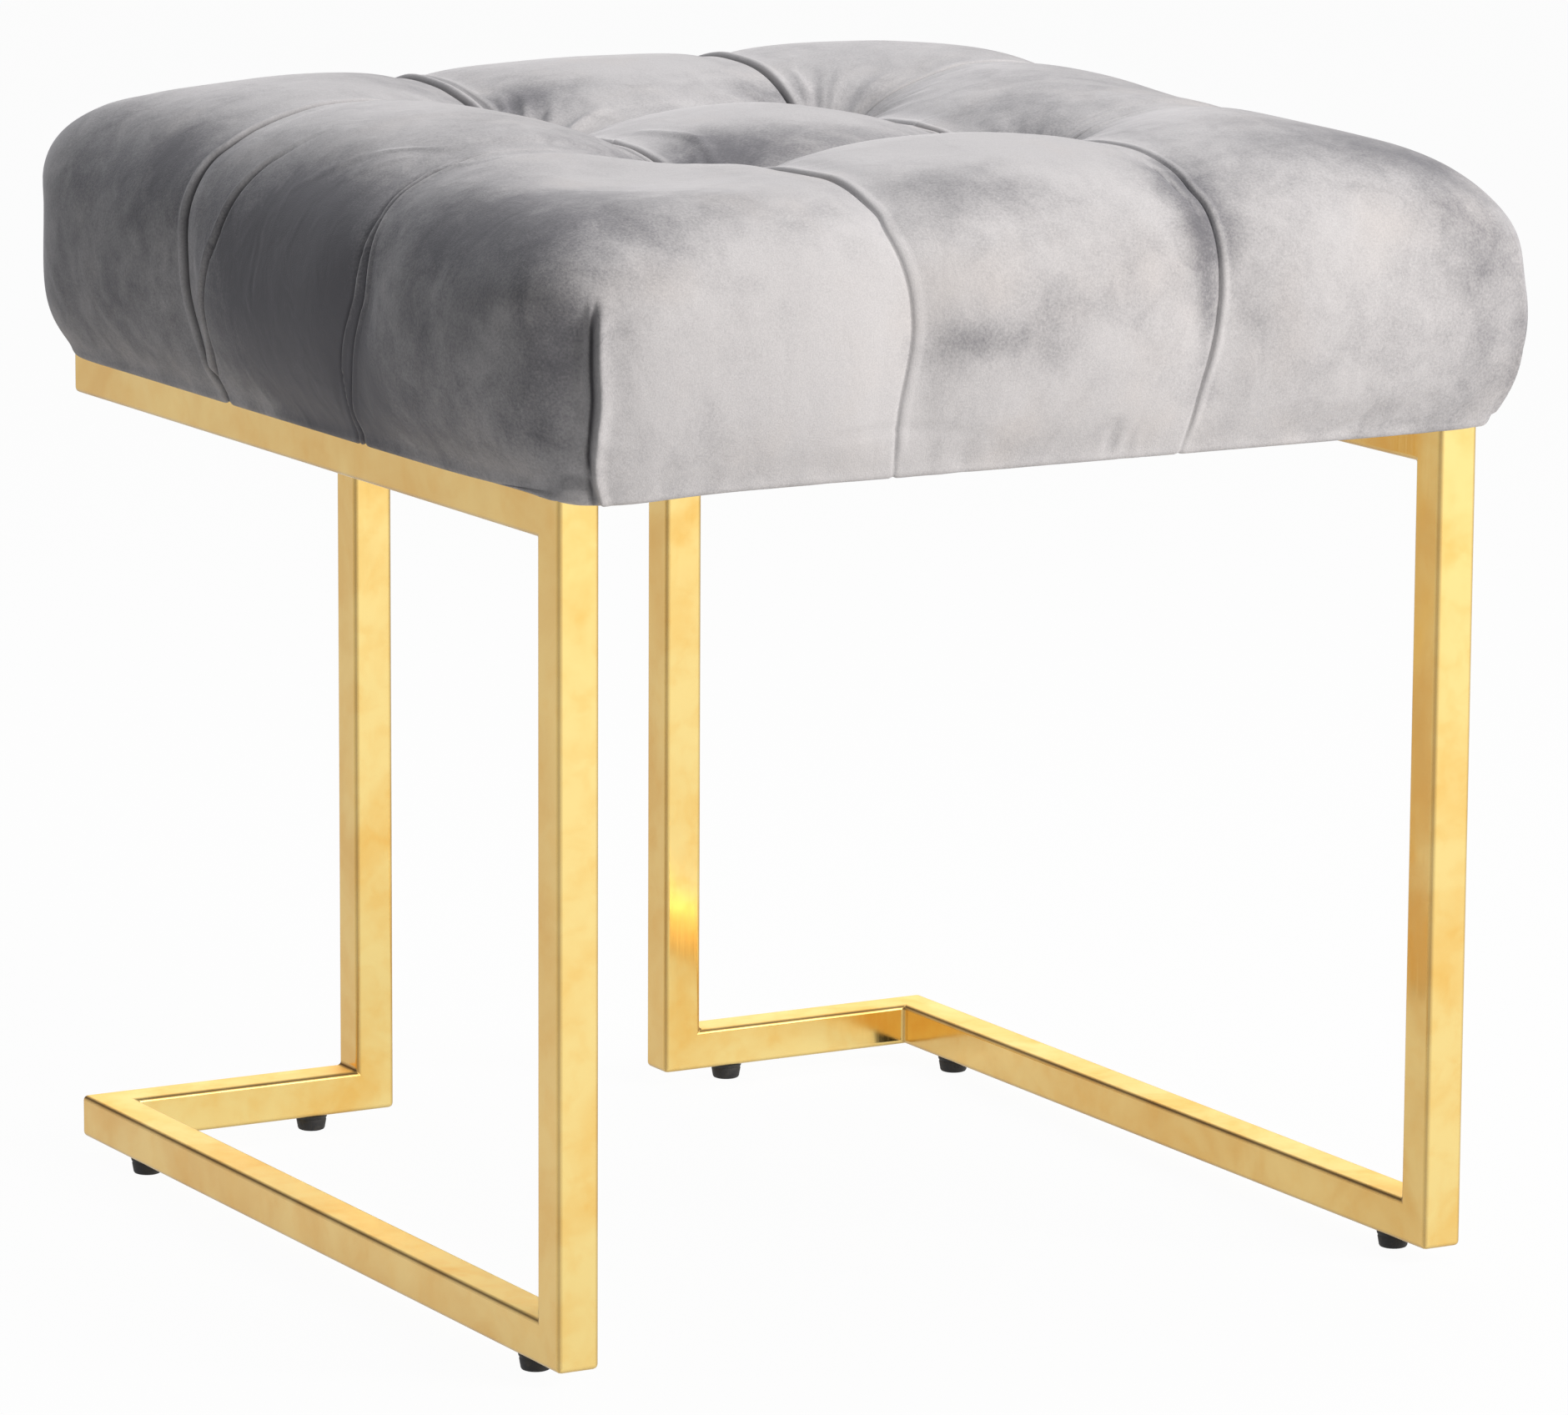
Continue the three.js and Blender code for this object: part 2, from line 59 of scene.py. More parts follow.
SOFT_STEPS = (-12.0, -6.0, 0.0, 6.0, 12.0)
QUARTERS = ((1, 1), (1, -1), (-1, -1), (-1, 1))
ENDS = ("front", "rear")
GRID_NAMES = ("column", "row", "down")

Colour = tuple[float, float, float]
Point = tuple[float, float, float]
Span = tuple[float, float]
Knots = tuple[tuple[float, float], ...]
Sockets = dict[Union[int, str], Any]

log = logging.getLogger("stool")


class Side(Enum):
    """The two sides of the stool, as the sign of X."""

    LEFT = -1
    RIGHT = 1


class End(Enum):
    """The two ends of the stool, as the sign of Y."""

    FRONT = -1
    REAR = 1


class FoldAxis(Enum):
    """The direction in which a fold of the cover runs, as the number of the axis across it."""

    FRONT_TO_REAR = 0
    SIDE_TO_SIDE = 1


class EdgePart(Enum):
    """The parts of the cover's edge, from the top down to the board's underside."""

    ROLL = "roll"
    SKIRT = "skirt"
    LIP = "lip"
    HEM = "hem"


# Shader expressions


def math_step(operation: str, reflected: bool = False) -> Callable[..., "ShaderValue"]:
    """Returns a method that adds a Math node to a value's graph.

    Args:
        operation: The node's operation.
        reflected: Whether the other value comes first.

    Returns:
        The method.
    """

    def add_node(self: "ShaderValue", *others: Any) -> "ShaderValue":
        """Adds the node.

        Args:
            others: The other values or numbers.

        Returns:
            The operation's result.
        """
        values = (*others, self) if reflected else (self, *others)
        step = self.graph.node("ShaderNodeMath", {"operation": operation}, dict(enumerate(values)))
        return step.value()

    return add_node


class ShaderValue:
    """A number on a shader socket, on which Python's operators add Math nodes."""

    __add__ = math_step("ADD")
    __radd__ = math_step("ADD", reflected=True)
    __sub__ = math_step("SUBTRACT")
    __rsub__ = math_step("SUBTRACT", reflected=True)
    __mul__ = math_step("MULTIPLY")
    __rmul__ = math_step("MULTIPLY", reflected=True)
    absolute = math_step("ABSOLUTE")
    highest = math_step("MAXIMUM")
    sine = math_step("SINE")

    def __init__(self, graph: "ShaderGraph", socket: bpy.types.NodeSocket) -> None:
        """Wraps an output socket of a graph."""
        self.graph = graph
        self.socket = socket

    def between(self, low: float, high: float) -> "ShaderValue":
        """Returns where this value lies between two numbers.

        Args:
            low: The value that gives 0.
            high: The value that gives 1.

        Returns:
            The share, held to between 0 and 1 and smoothed.
        """
        settings = {"interpolation_type": "SMOOTHSTEP"}
        sockets = {"Value": self, "From Min": low, "From Max": high}
        return self.graph.node("ShaderNodeMapRange", settings, sockets).value()


class ShaderStep:
    """A node that has been added to a graph, and its outputs."""

    def __init__(self, graph: "ShaderGraph", node: bpy.types.Node) -> None:
        """Wraps a node of a graph."""
        self.graph = graph
        self.node = node

    def value(self, name: Union[int, str] = 0) -> ShaderValue:
        """Returns an output as a value for expressions."""
        return ShaderValue(self.graph, self.node.outputs[name])

    def socket(self, name: Union[int, str] = 0) -> bpy.types.NodeSocket:
        """Returns an output as it is, for colours, vectors and shaders."""
        return self.node.outputs[name]


class ShaderGraph:
    """The nodes of one material or of the world."""

    MIX_FACTOR = 0
    MIX_FIRST_COLOUR = 6
    MIX_SECOND_COLOUR = 7
    MIX_RESULT_COLOUR = 2

    def __init__(self, tree: bpy.types.NodeTree) -> None:
        """Starts an empty graph in a node tree."""
        self.tree = tree
        tree.nodes.clear()

    def node(
        self, kind: str, settings: Optional[dict[str, Any]] = None, sockets: Optional[Sockets] = None
    ) -> ShaderStep:
        """Adds a node.

        Args:
            kind: The node's type.
            settings: Its settings, which are set first.
            sockets: Numbers, colours, vectors or links for its inputs, by name or index.

        Returns:
            The node.
        """
        node = self.tree.nodes.new(kind)
        for name, value in (settings or {}).items():
            setattr(node, name, value)
        for name, value in (sockets or {}).items():
            target = node.inputs[name]
            if isinstance(value, ShaderValue):
                value = value.socket
            if isinstance(value, bpy.types.NodeSocket):
                self.tree.links.new(value, target)
            else:
                target.default_value = (*value, 1) if target.type == "RGBA" else value
        return ShaderStep(self, node)

    def mix_colour(self, factor: Any, first: Any, second: Any) -> bpy.types.NodeSocket:
        """Mixes two colours.

        Args:
            factor: Share of the second colour.
            first: First colour, or a link.
            second: Second colour, or a link.

        Returns:
            The mixed colour's socket.
        """
        sockets = {
            self.MIX_FACTOR: factor, self.MIX_FIRST_COLOUR: first, self.MIX_SECOND_COLOUR: second,
        }
        step = self.node("ShaderNodeMix", {"data_type": "RGBA"}, sockets)
        return step.socket(self.MIX_RESULT_COLOUR)

    def kept(self, name: str) -> ShaderValue:
        """Returns a value that is kept on the mesh's points."""
        return self.node("ShaderNodeAttribute", {"attribute_name": name}).value("Fac")

    def place(self, stretch: Point = (1, 1, 1)) -> bpy.types.NodeSocket:
        """Returns the place on the object in metres, stretched along the axes."""
        sockets = {0: self.node("ShaderNodeTexCoord").socket("Object"), 1: stretch}
        return self.node("ShaderNodeVectorMath", {"operation": "MULTIPLY"}, sockets).socket()

    def bump(
        self, height: ShaderValue, distance: float, under: Optional[bpy.types.NodeSocket] = None
    ) -> bpy.types.NodeSocket:
        """Adds bumps.

        Args:
            height: Height from 0 to 1.
            distance: Height of the bumps in metres.
            under: Normal that they stand on.

        Returns:
            The bumped normal's socket.
        """
        sockets: Sockets = {"Height": height, "Distance": distance}
        if under is not None:
            sockets["Normal"] = under
        return self.node("ShaderNodeBump", None, sockets).socket()

    def end(self, output: str, kind: str, sockets: Sockets) -> None:
        """Ends the graph in an output that shows a shader of this kind, with these inputs."""
        self.node(output, None, {"Surface": self.node(kind, None, sockets).socket()})


# Finishes


@dataclass(frozen=True)
class Pattern:
    """Noise over a surface, or round cells where a randomness is given."""

    scale: float
    detail: float = 3
    bend: float = 0
    weight: float = 1
    stretch: Point = (1, 1, 1)
    randomness: Optional[float] = None

    def draw(self, graph: ShaderGraph) -> ShaderValue:
        """Adds the pattern.

        Args:
            graph: The graph of the surface.

        Returns:
            The pattern's value at each place.
        """
        sockets: Sockets = {"Vector": graph.place(self.stretch), "Scale": self.scale}
        if self.randomness is None:
            sockets |= {"Detail": self.detail, "Distortion": self.bend}
            return graph.node("ShaderNodeTexNoise", None, sockets).value()
        sockets["Randomness"] = self.randomness
        return graph.node("ShaderNodeTexVoronoi", None, sockets).value("Distance")


@dataclass(frozen=True)
class Finish:
    """What a surface is made of. Each kind of finish draws its own nodes."""

    name: str
    slot: str

    def draw(self, graph: ShaderGraph) -> Sockets:
        """Adds the finish's nodes and returns the inputs of its surface."""
        raise NotImplementedError

    def material(self) -> bpy.types.Material:
        """Finds the finish's material, or makes it on first use.

        Returns:
            The material.
        """
        found = bpy.data.materials.get(self.name)
        if found is None:
            found = bpy.data.materials.new(self.name)
            found.use_nodes = True
            graph = ShaderGraph(found.node_tree)
            graph.end("ShaderNodeOutputMaterial", "ShaderNodeBsdfPrincipled", self.draw(graph))
        return found


@dataclass(frozen=True)
class VelvetFinish(Finish):
    """Grey velvet, whose pile lies lighter and darker in random patches; the cover's points add painted
    shade, painted highlight and painted shade in the creases.
    """

    light: Colour = (0.61, 0.595, 0.6)
    dark: Colour = (0.165, 0.163, 0.178)
    warm: Colour = (0.63, 0.59, 0.57)
    # Painted shade: the near-black colour that the creases and corner slits are mixed towards.
    crease_shade_colour: Colour = (0.045, 0.043, 0.05)
    brushing: tuple[Pattern, ...] = (
        Pattern(7.5, 2, 0.5, 0.8),
        Pattern(26.0, 4, 0.5, 0.5, (1, 1, 0.75)),
        Pattern(62.0, 5, 0.8, 0.48),
        Pattern(850.0, 2, 0, 0.45),
    )
    dark_range: Span = (1.11, 2.11)
    warmth: Pattern = Pattern(20.25, 2, 0, 0.5)
    warm_range: Span = (0.5, 0.8)
    pile: Pattern = Pattern(1500.0, 1, 0, 0.12)
    fleck_range: Span = (0.35, 0.65)
    pile_height: float = 0.00012
    ripples: Pattern = Pattern(60.0, 2, 0.6, 1, (1, 1, 0.75))
    ripple_height: float = 0.0007
    roughness: float = 0.92
    shine: float = 0.15
    sheen: float = 0.55
    sheen_roughness: float = 0.38
    sheen_tint: Colour = (0.93, 0.92, 0.95)

    def draw(self, graph: ShaderGraph) -> Sockets:
        """Adds the finish's nodes.

        Args:
            graph: The material's graph.

        Returns:
            The inputs of its surface.
        """
        # The brushing patterns are random pile; the kept attribute adds painted shade and painted
        # highlight.
        layers = (layer.draw(graph) * layer.weight for layer in self.brushing)
        brushed_and_painted_shading = sum(layers, graph.kept("nap")).between(*self.dark_range)
        colour = graph.mix_colour(brushed_and_painted_shading, self.light, self.dark)
        warmth = self.warmth.draw(graph).between(*self.warm_range) * self.warmth.weight
        colour = graph.mix_colour(warmth * (1 - brushed_and_painted_shading), colour, self.warm)
        pile = self.pile.draw(graph)
        colour = graph.mix_colour(pile.between(*self.fleck_range) * self.pile.weight, colour, self.dark)
        rippled = graph.bump(self.ripples.draw(graph), self.ripple_height)
        return {
            # Painted shade in the creases: the crease attribute mixes the colour towards near black.
            "Base Color": graph.mix_colour(graph.kept("crease"), colour, self.crease_shade_colour),
            "Roughness": self.roughness,
            "Specular IOR Level": self.shine,
            "Sheen Weight": self.sheen,
            "Sheen Roughness": self.sheen_roughness,
            "Sheen Tint": self.sheen_tint,
            "Normal": graph.bump(pile, self.pile_height, rippled),
        }


@dataclass(frozen=True)
class BrassFinish(Finish):
    """Polished brass-toned plating with smudges and polishing lines; faces turned along X carry painted
    shade, and the rounded edges a painted dark brown reflection.
    """

    colour: Colour = (1.0, 0.77, 0.3)
    deep: Colour = (0.95, 0.56, 0.13)
    # Painted shade: faces turned along X are mixed towards this darker orange.
    side: Colour = (0.6, 0.35, 0.11)
    # Painted dark reflection: the colour that the rounded edges are mixed towards.
    edge_reflection_shade: Colour = (0.1, 0.045, 0.012)
    smudges: Pattern = Pattern(16.0, 4, 0.8, 0.6)
    smudge_range: Span = (0.4, 0.72)
    clouds: Pattern = Pattern(80.0, 3, 0.4, 0.3)
    cloud_range: Span = (0.4, 0.75)
    side_shade_share: float = 0.35
    side_shade_smudge: float = 0.4
    edge_shade_share: float = 0.6
    edge_shade_smudge: float = 0.5
    worn_range: Span = (0.4, 0.8)
    worn_share: float = 0.7
    lines: Pattern = Pattern(900.0, 2, 0, 0.3, (1, 1, 0.03))
    line_range: Span = (0.4, 0.7)
    smooth: float = 0.1
    wear: float = 0.14
    edge_wear: float = 0.4
    top_wear: float = 0.42
    edge_reflection_cut: float = 0.65
    waves: Pattern = Pattern(26.0, 1)
    wave_height: float = 0.0004

    def draw(self, graph: ShaderGraph) -> Sockets:
        """Adds the finish's nodes.

        Args:
            graph: The material's graph.

        Returns:
            The inputs of its surface.
        """
        smudges, clouds = self.smudges.draw(graph), self.clouds.draw(graph)
        normal = graph.node("ShaderNodeNewGeometry").socket("Normal")
        turned = graph.node("ShaderNodeSeparateXYZ", None, {0: normal})
        side_shade_facing, upward = turned.value("X").absolute(), turned.value("Z").highest(0)
        edge = graph.kept("edge")
        deep = smudges.between(*self.smudge_range) * self.smudges.weight
        deep = deep + clouds.between(*self.cloud_range) * self.clouds.weight
        colour = graph.mix_colour(deep, self.colour, self.deep)
        # Painted shade on the faces turned along X, varied by the smudges.
        side = side_shade_facing * (self.side_shade_share + smudges * self.side_shade_smudge)
        colour = graph.mix_colour(side, colour, self.side)
        # Painted dark reflection along the rounded edges; less metal there also dims the lamps' highlight.
        edge_reflection_shade = edge * (self.edge_shade_share + smudges * self.edge_shade_smudge)
        lines = self.lines.draw(graph).between(*self.line_range) * self.lines.weight
        worn = smudges.between(*self.worn_range) * self.worn_share + lines
        return {
            "Base Color": graph.mix_colour(edge_reflection_shade, colour, self.edge_reflection_shade),
            "Metallic": 1 - edge * self.edge_reflection_cut,
            "Roughness": worn * self.wear + self.smooth + edge * self.edge_wear + upward * self.top_wear,
            "Normal": graph.bump(self.waves.draw(graph), self.wave_height),
        }


@dataclass(frozen=True)
class PlywoodFinish(Finish):
    """Plywood: long grain on its faces, thin plies at its edges."""

    light: Colour = (0.7, 0.52, 0.33)
    dark: Colour = (0.5, 0.34, 0.19)
    grain: Pattern = Pattern(90.0, 5, 1.2, 0.7, (1, 0.06, 1))
    grain_range: Span = (0.35, 0.7)
    grain_height: float = 0.0002
    plies_in_a_metre: float = 417.0
    ply_range: Span = (-0.2, 0.2)
    ply_share: float = 0.3
    roughness: float = 0.6
    grain_roughness: float = 0.2

    def draw(self, graph: ShaderGraph) -> Sockets:
        """Adds the finish's nodes.

        Args:
            graph: The material's graph.

        Returns:
            The inputs of its surface.
        """
        grain = self.grain.draw(graph)
        height = graph.node("ShaderNodeSeparateXYZ", None, {0: graph.place()}).value("Z")
        plies = (height * (self.plies_in_a_metre * math.pi)).sine()
        shade = grain.between(*self.grain_range) * self.grain.weight
        shade = shade + plies.between(*self.ply_range) * self.ply_share
        return {
            "Base Color": graph.mix_colour(shade, self.light, self.dark),
            "Roughness": grain * self.grain_roughness + self.roughness,
            "Normal": graph.bump(grain, self.grain_height),
        }


@dataclass(frozen=True)
class GrainFinish(Finish):
    """A material of two tones with one or two patterns, of which the first mixes the tones.

    The shares say how much each pattern roughens the surface and raises its bumps.
    """

    tones: tuple[Colour, Colour]
    tone_range: Span
    patterns: tuple[Pattern, ...]
    bump_height: float
    roughness: float
    rough_shares: tuple[float, ...] = (0,)
    bump_shares: tuple[float, ...] = (1,)
    metallic: float = 0

    def draw(self, graph: ShaderGraph) -> Sockets:
        """Adds the finish's nodes.

        Args:
            graph: The material's graph.

        Returns:
            The inputs of its surface.
        """
        values = [pattern.draw(graph) for pattern in self.patterns]

        def total(shares: Sequence[float], start: float) -> Any:
            """Adds the patterns' shares to a number."""
            return sum((value * share for value, share in zip(values, shares) if share), start)

        return {
            "Base Color": graph.mix_colour(values[0].between(*self.tone_range), *self.tones),
            "Metallic": self.metallic,
            "Roughness": total(self.rough_shares, self.roughness),
            "Normal": graph.bump(total(self.bump_shares, 0), self.bump_height),
        }


VELVET = VelvetFinish("grey_velvet_nap", "grey_velvet")
BRASS = BrassFinish("polished_brass_tone", "frame_brass")
PLYWOOD = PlywoodFinish("birch_plywood", "plywood")
STEEL = GrainFinish(
    "zinc_plated_steel", "zinc_steel", ((0.66, 0.67, 0.69), (0.5, 0.51, 0.53)), (0.35, 0.7),
    (Pattern(120.0), Pattern(700.0)), 0.00005, 0.28, (0, 0.2), (0, 1), metallic=1,
)
RUBBER = GrainFinish(
    "black_moulded_rubber", "black_rubber", ((0.018, 0.018, 0.02), (0.06, 0.058, 0.055)), (0.5, 0.8),
    (Pattern(180.0, 4), Pattern(1400.0, 2)), 0.00012, 0.5, (0.25, 0), (0, 1),
)
FOAM = GrainFinish(
    "open_cell_foam", "foam", ((0.62, 0.54, 0.36), (0.83, 0.77, 0.58)), (0.2, 0.7),
    (Pattern(900.0, randomness=1),), 0.0005, 0.95,
)
CLOTH = GrainFinish(
    "black_nonwoven_cloth", "black_cloth", ((0.045, 0.045, 0.05), (0.022, 0.022, 0.024)), (0.2, 0.45),
    (Pattern(620.0, randomness=0.1), Pattern(2200.0, 2)), 0.00015, 0.75, (0, 0.2), (0.7, 0.3),
)
TWINE = GrainFinish(
    "waxed_twine", "twine", ((0.72, 0.66, 0.55), (0.5, 0.44, 0.34)), (0.35, 0.65),
    (Pattern(1800.0),), 0.0001, 0.7,
)


# Mesh making


class MeshBuilder:
    """Points and faces in millimetres, which become one piece of the stool."""

    def __init__(self) -> None:
        """Starts with no points."""
        self.points: list[Point] = []
        self.faces: list[tuple[int, ...]] = []

    def ring(self, points: Iterable[Sequence[float]]) -> list[int]:
        """Adds points.

        Args:
            points: The points.

        Returns:
            Their numbers.
        """
        start = len(self.points)
        self.points.extend(tuple(point) for point in points)
        return list(range(start, len(self.points)))

    def join(self, lower: Sequence[int], upper: Sequence[int]) -> None:
        """Adds a band of faces between two closed rings."""
        self.faces += zip(lower, [*lower[1:], lower[0]], [*upper[1:], upper[0]], upper)

    def skin(self, rings: Sequence[Iterable[Sequence[float]]], closed: bool = False) -> None:
        """Adds a skin from ring to ring.

        Args:
            rings: The rings' points, as many in each.
            closed: Whether the last ring joins the first; otherwise both are capped.
        """
        numbers = [self.ring(ring) for ring in rings]
        for ring, following in zip(numbers, numbers[1:]):
            self.join(ring, following)
        if closed:
            self.join(numbers[-1], numbers[0])
        else:
            self.faces += [tuple(numbers[0]), tuple(numbers[-1])]

    def grid(self, rows: Iterable[Iterable[Sequence[float]]]) -> list[list[int]]:
        """Adds a grid of faces.

        Args:
            rows: Rows of points, as many in each.

        Returns:
            The points' numbers, row by row.
        """
        numbers = [self.ring(row) for row in rows]
        for row, following in zip(numbers, numbers[1:]):
            self.faces += zip(row, row[1:], following[1:], following)
        return numbers

    def piece(self, name: str, smooth_faces: bool = True) -> bpy.types.Object:
        """Makes the piece.

        Args:
            name: The piece's name.
            smooth_faces: Whether its faces are shaded smooth.

        Returns:
            The object, in the scene.
        """
        mesh = bpy.data.meshes.new(name)
        mesh.from_pydata([tuple(MM * value for value in point) for point in self.points], [], self.faces)
        cleaned = bmesh.new()
        cleaned.from_mesh(mesh)
        bmesh.ops.recalc_face_normals(cleaned, faces=cleaned.faces)
        cleaned.to_mesh(mesh)
        cleaned.free()
        mesh.polygons.foreach_set("use_smooth", [smooth_faces] * len(mesh.polygons))
        piece = bpy.data.objects.new(name, mesh)
        bpy.context.scene.collection.objects.link(piece)
        return piece


def circle(centre: Sequence[float], radius: float, count: int) -> list[Point]:
    """Returns points on a level circle.

    Args:
        centre: Its centre.
        radius: Its radius.
        count: Number of points.

    Returns:
        The points, anticlockwise from the centre's right.
    """
    x, y, z = centre
    turns = [math.tau * step / count for step in range(count)]
    return [(x + radius * math.cos(turn), y + radius * math.sin(turn), z) for turn in turns]


def shares_of(span: float, spacing: float) -> list[float]:
    """Returns evenly spaced places from -1 to 1 for a span cut at about this spacing."""
    parts = round(span / spacing)
    return [2 * step / parts - 1 for step in range(parts + 1)]


def border_of(grid: Sequence[Sequence[int]]) -> list[int]:
    """Returns the numbers round a grid's border.

    Args:
        grid: Rows of point numbers.

    Returns:
        The border, anticlockwise from above and without a repeat of its first point.
    """
    right = [row[-1] for row in grid]
    left = [row[0] for row in grid]
    return [*grid[0][:-1], *right[:-1], *grid[-1][:0:-1], *left[:0:-1]]


def add_modifier(piece: bpy.types.Object, kind: str, settings: dict[str, Any]) -> None:
    """Adds a modifier and applies it.

    Args:
        piece: The object to change.
        kind: The modifier's type.
        settings: The modifier's settings.
    """
    modifier = piece.modifiers.new(kind.lower(), kind)
    for name, value in settings.items():
        setattr(modifier, name, value)
    graph = bpy.context.evaluated_depsgraph_get()
    mesh = bpy.data.meshes.new_from_object(piece.evaluated_get(graph))
    piece.modifiers.clear()
    before, piece.data = piece.data, mesh
    name = before.name
    bpy.data.meshes.remove(before)
    mesh.name = name


def read_values(items: Any, name: str, width: int = 1) -> np.ndarray:
    """Reads a value of every point of a mesh.

    Args:
        items: The points, or an attribute's data.
        name: The value's name.
        width: How many numbers each has.

    Returns:
        The values, as rows where they have more than one number.
    """
    values = np.zeros(len(items) * width, np.float32)
    items.foreach_get(name, values)
    return values.astype(float).reshape((-1, width) if width > 1 else -1)


def keep_values(piece: bpy.types.Object, name: str, values: np.ndarray) -> None:
    """Keeps a value on each of a piece's points, under a name."""
    attribute = piece.data.attributes.new(name, "FLOAT", "POINT")
    attribute.data.foreach_set("value", values.astype(np.float32))


def settle(piece: bpy.types.Object, finish: Finish, nodes: Sequence[str] = ()) -> None:
    """Gives a piece its finish and fixes it to the stool.

    Args:
        piece: The piece.
        finish: Its finish.
        nodes: The solids that it stands for.
    """
    piece.data.materials.clear()
    piece.data.materials.append(finish.material())
    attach(piece, ROOT)
    if nodes:
        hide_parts(*nodes)
    log.info("%s: %d faces", piece.name, len(piece.data.polygons))


def dress_solid(node: str, finish: Finish) -> None:
    """Gives a solid that stays in view its finish.

    Args:
        node: The solid's name.
        finish: The finish.
    """
    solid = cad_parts[node]
    if not solid.material_slots:
        solid.data.materials.append(None)
    for slot in solid.material_slots:
        slot.link = "OBJECT"
        slot.material = finish.material()
    log.info("%s: dressed in %s", node, finish.name)


def box_mm(node: str) -> tuple[Vector, Vector, Vector]:
    """Measures a solid in millimetres.

    Args:
        node: The solid's name.

    Returns:
        Its lowest corner, its highest corner and its middle.
    """
    low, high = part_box(node)
    low, high = low / MM, high / MM
    return low, high, (low + high) * HALF


def bell(distance: Any, width: Any = 1.0) -> np.ndarray:
    """Returns 1 at no distance, fading to nothing over a few widths."""
    return np.exp(-((distance / width) ** 2))


def smooth(values: Any) -> np.ndarray:
    """Returns shares held to between 0 and 1 and smoothed."""
    held = np.clip(values, 0, 1)
    return held * held * (3 - 2 * held)


def knot_curve(knots: Knots, at: np.ndarray) -> np.ndarray:
    """Returns the values at some places of a line through knots, in order of place."""
    places, values = zip(*knots)
    return np.interp(at, places, values)


def soft_curve(knots: Knots, at: np.ndarray) -> np.ndarray:
    """Returns the values at some places of a line through knots, its corners rounded."""
    return sum(knot_curve(knots, at + step) for step in SOFT_STEPS) / len(SOFT_STEPS)


# The frame


@dataclass
class TubeFrame:
    """The welded frame: two cantilever sides and the rail that joins them at the rear."""

    tube_side: float = 20.0
    corner_radius: float = 2.4
    corner_segments: int = 4
    edge_turn: float = 0.3
    edge_share: float = 0.45
    leg_sink: float = 4.0
    weld_radius: float = 1.3
    weld_segments: int = 6
    members: tuple[str, ...] = ("front_leg", "floor_rail", "return_rail", "rear_leg", "seat_rail")

    def bends(self, side: Side) -> list[Vector]:
        """Returns the bends of one side frame's middle line.

        Args:
            side: Which side.

        Returns:
            The bends, from the rear leg's top to the seat rail's rear.
        """
        word = side.name.lower()
        half = self.tube_side * HALF
        rail_low, rail_high, rail = box_mm(f"{word}_seat_rail")
        inner, line = box_mm(f"{word}_rear_leg")[2].x, rail.x
        front, rear = rail_low.y + half, rail_high.y - half
        top, bottom = rail_high.z - half, box_mm(f"{word}_floor_rail")[0].z + half
        places = (
            (inner, rear, top - half + self.leg_sink), (inner, rear, bottom), (line, rear, bottom),
            (line, front, bottom), (line, front, top), (line, rear, top),
        )
        return [Vector(place) for place in places]

    def build_tube(self) -> None:
        """Builds the whole frame as one seamless tube, mitred and then rounded, with its edges marked for a
        painted dark reflection.
        """
        half = self.tube_side * HALF
        line = self.bends(Side.LEFT) + self.bends(Side.RIGHT)[::-1]
        ways = [(stop - start).normalized() for start, stop in zip(line, line[1:])]
        offsets = [Vector((half * x, half * y, 0)) for x, y in QUARTERS]
        rings = [[line[0] + offset for offset in offsets]]
        for bend, ahead, onward in zip(line[1:], ways, ways[1:] + ways[-1:]):
            shares = [offset.dot(onward) for offset in offsets]
            rings.append([bend + offset - share * ahead for offset, share in zip(offsets, shares)])
            offsets = [offset - share * (onward + ahead) for offset, share in zip(offsets, shares)]
        builder = MeshBuilder()
        builder.skin(rings)
        tube = builder.piece("polished_frame")
        add_modifier(tube, "BEVEL", {
            "width": self.corner_radius * MM,
            "segments": self.corner_segments,
            "limit_method": "ANGLE",
            "harden_normals": True,
        })
        # The edge attribute marks the rounded edges, more on the upper ones, for the brass's painted dark
        # reflection.
        normals = read_values(tube.data.vertices, "normal", 3)
        turned = np.sort(np.abs(normals), axis=1)[:, 1]
        upward = self.edge_share + (1 - self.edge_share) * smooth(normals[:, 2] / HALF)
        keep_values(tube, "edge", smooth((turned - self.edge_turn) / (HALF - self.edge_turn)) * upward)
        nodes = [f"{side.name.lower()}_{member}" for side in Side for member in self.members]
        settle(tube, BRASS, nodes + ["rear_seat_rail"])

    def build_welds(self) -> None:
        """Builds the weld beads where the rear legs meet the rear rail."""
        inset = self.corner_radius * (1 - math.sqrt(HALF))
        height = box_mm("rear_seat_rail")[0].z - self.weld_radius * HALF
        for side in Side:
            word = side.name.lower()
            leg = box_mm(f"{word}_rear_leg")[2]
            bead = circle((self.tube_side * HALF - inset, 0, 0), self.weld_radius, self.weld_segments)
            builder = MeshBuilder()
            builder.skin([
                [(leg.x + x * out, leg.y + y * out, height + rise) for out, rise, _ in bead]
                for x, y in QUARTERS
            ], closed=True)
            settle(builder.piece(f"weld_bead_{word}"), BRASS)

    def build(self) -> None:
        """Builds and dresses the frame and the tabs that the seat is screwed to."""
        self.build_tube()
        self.build_welds()
        for end in ENDS:
            for side in Side:
                dress_solid(f"seat_tab_{end}_{side.name.lower()}", BRASS)


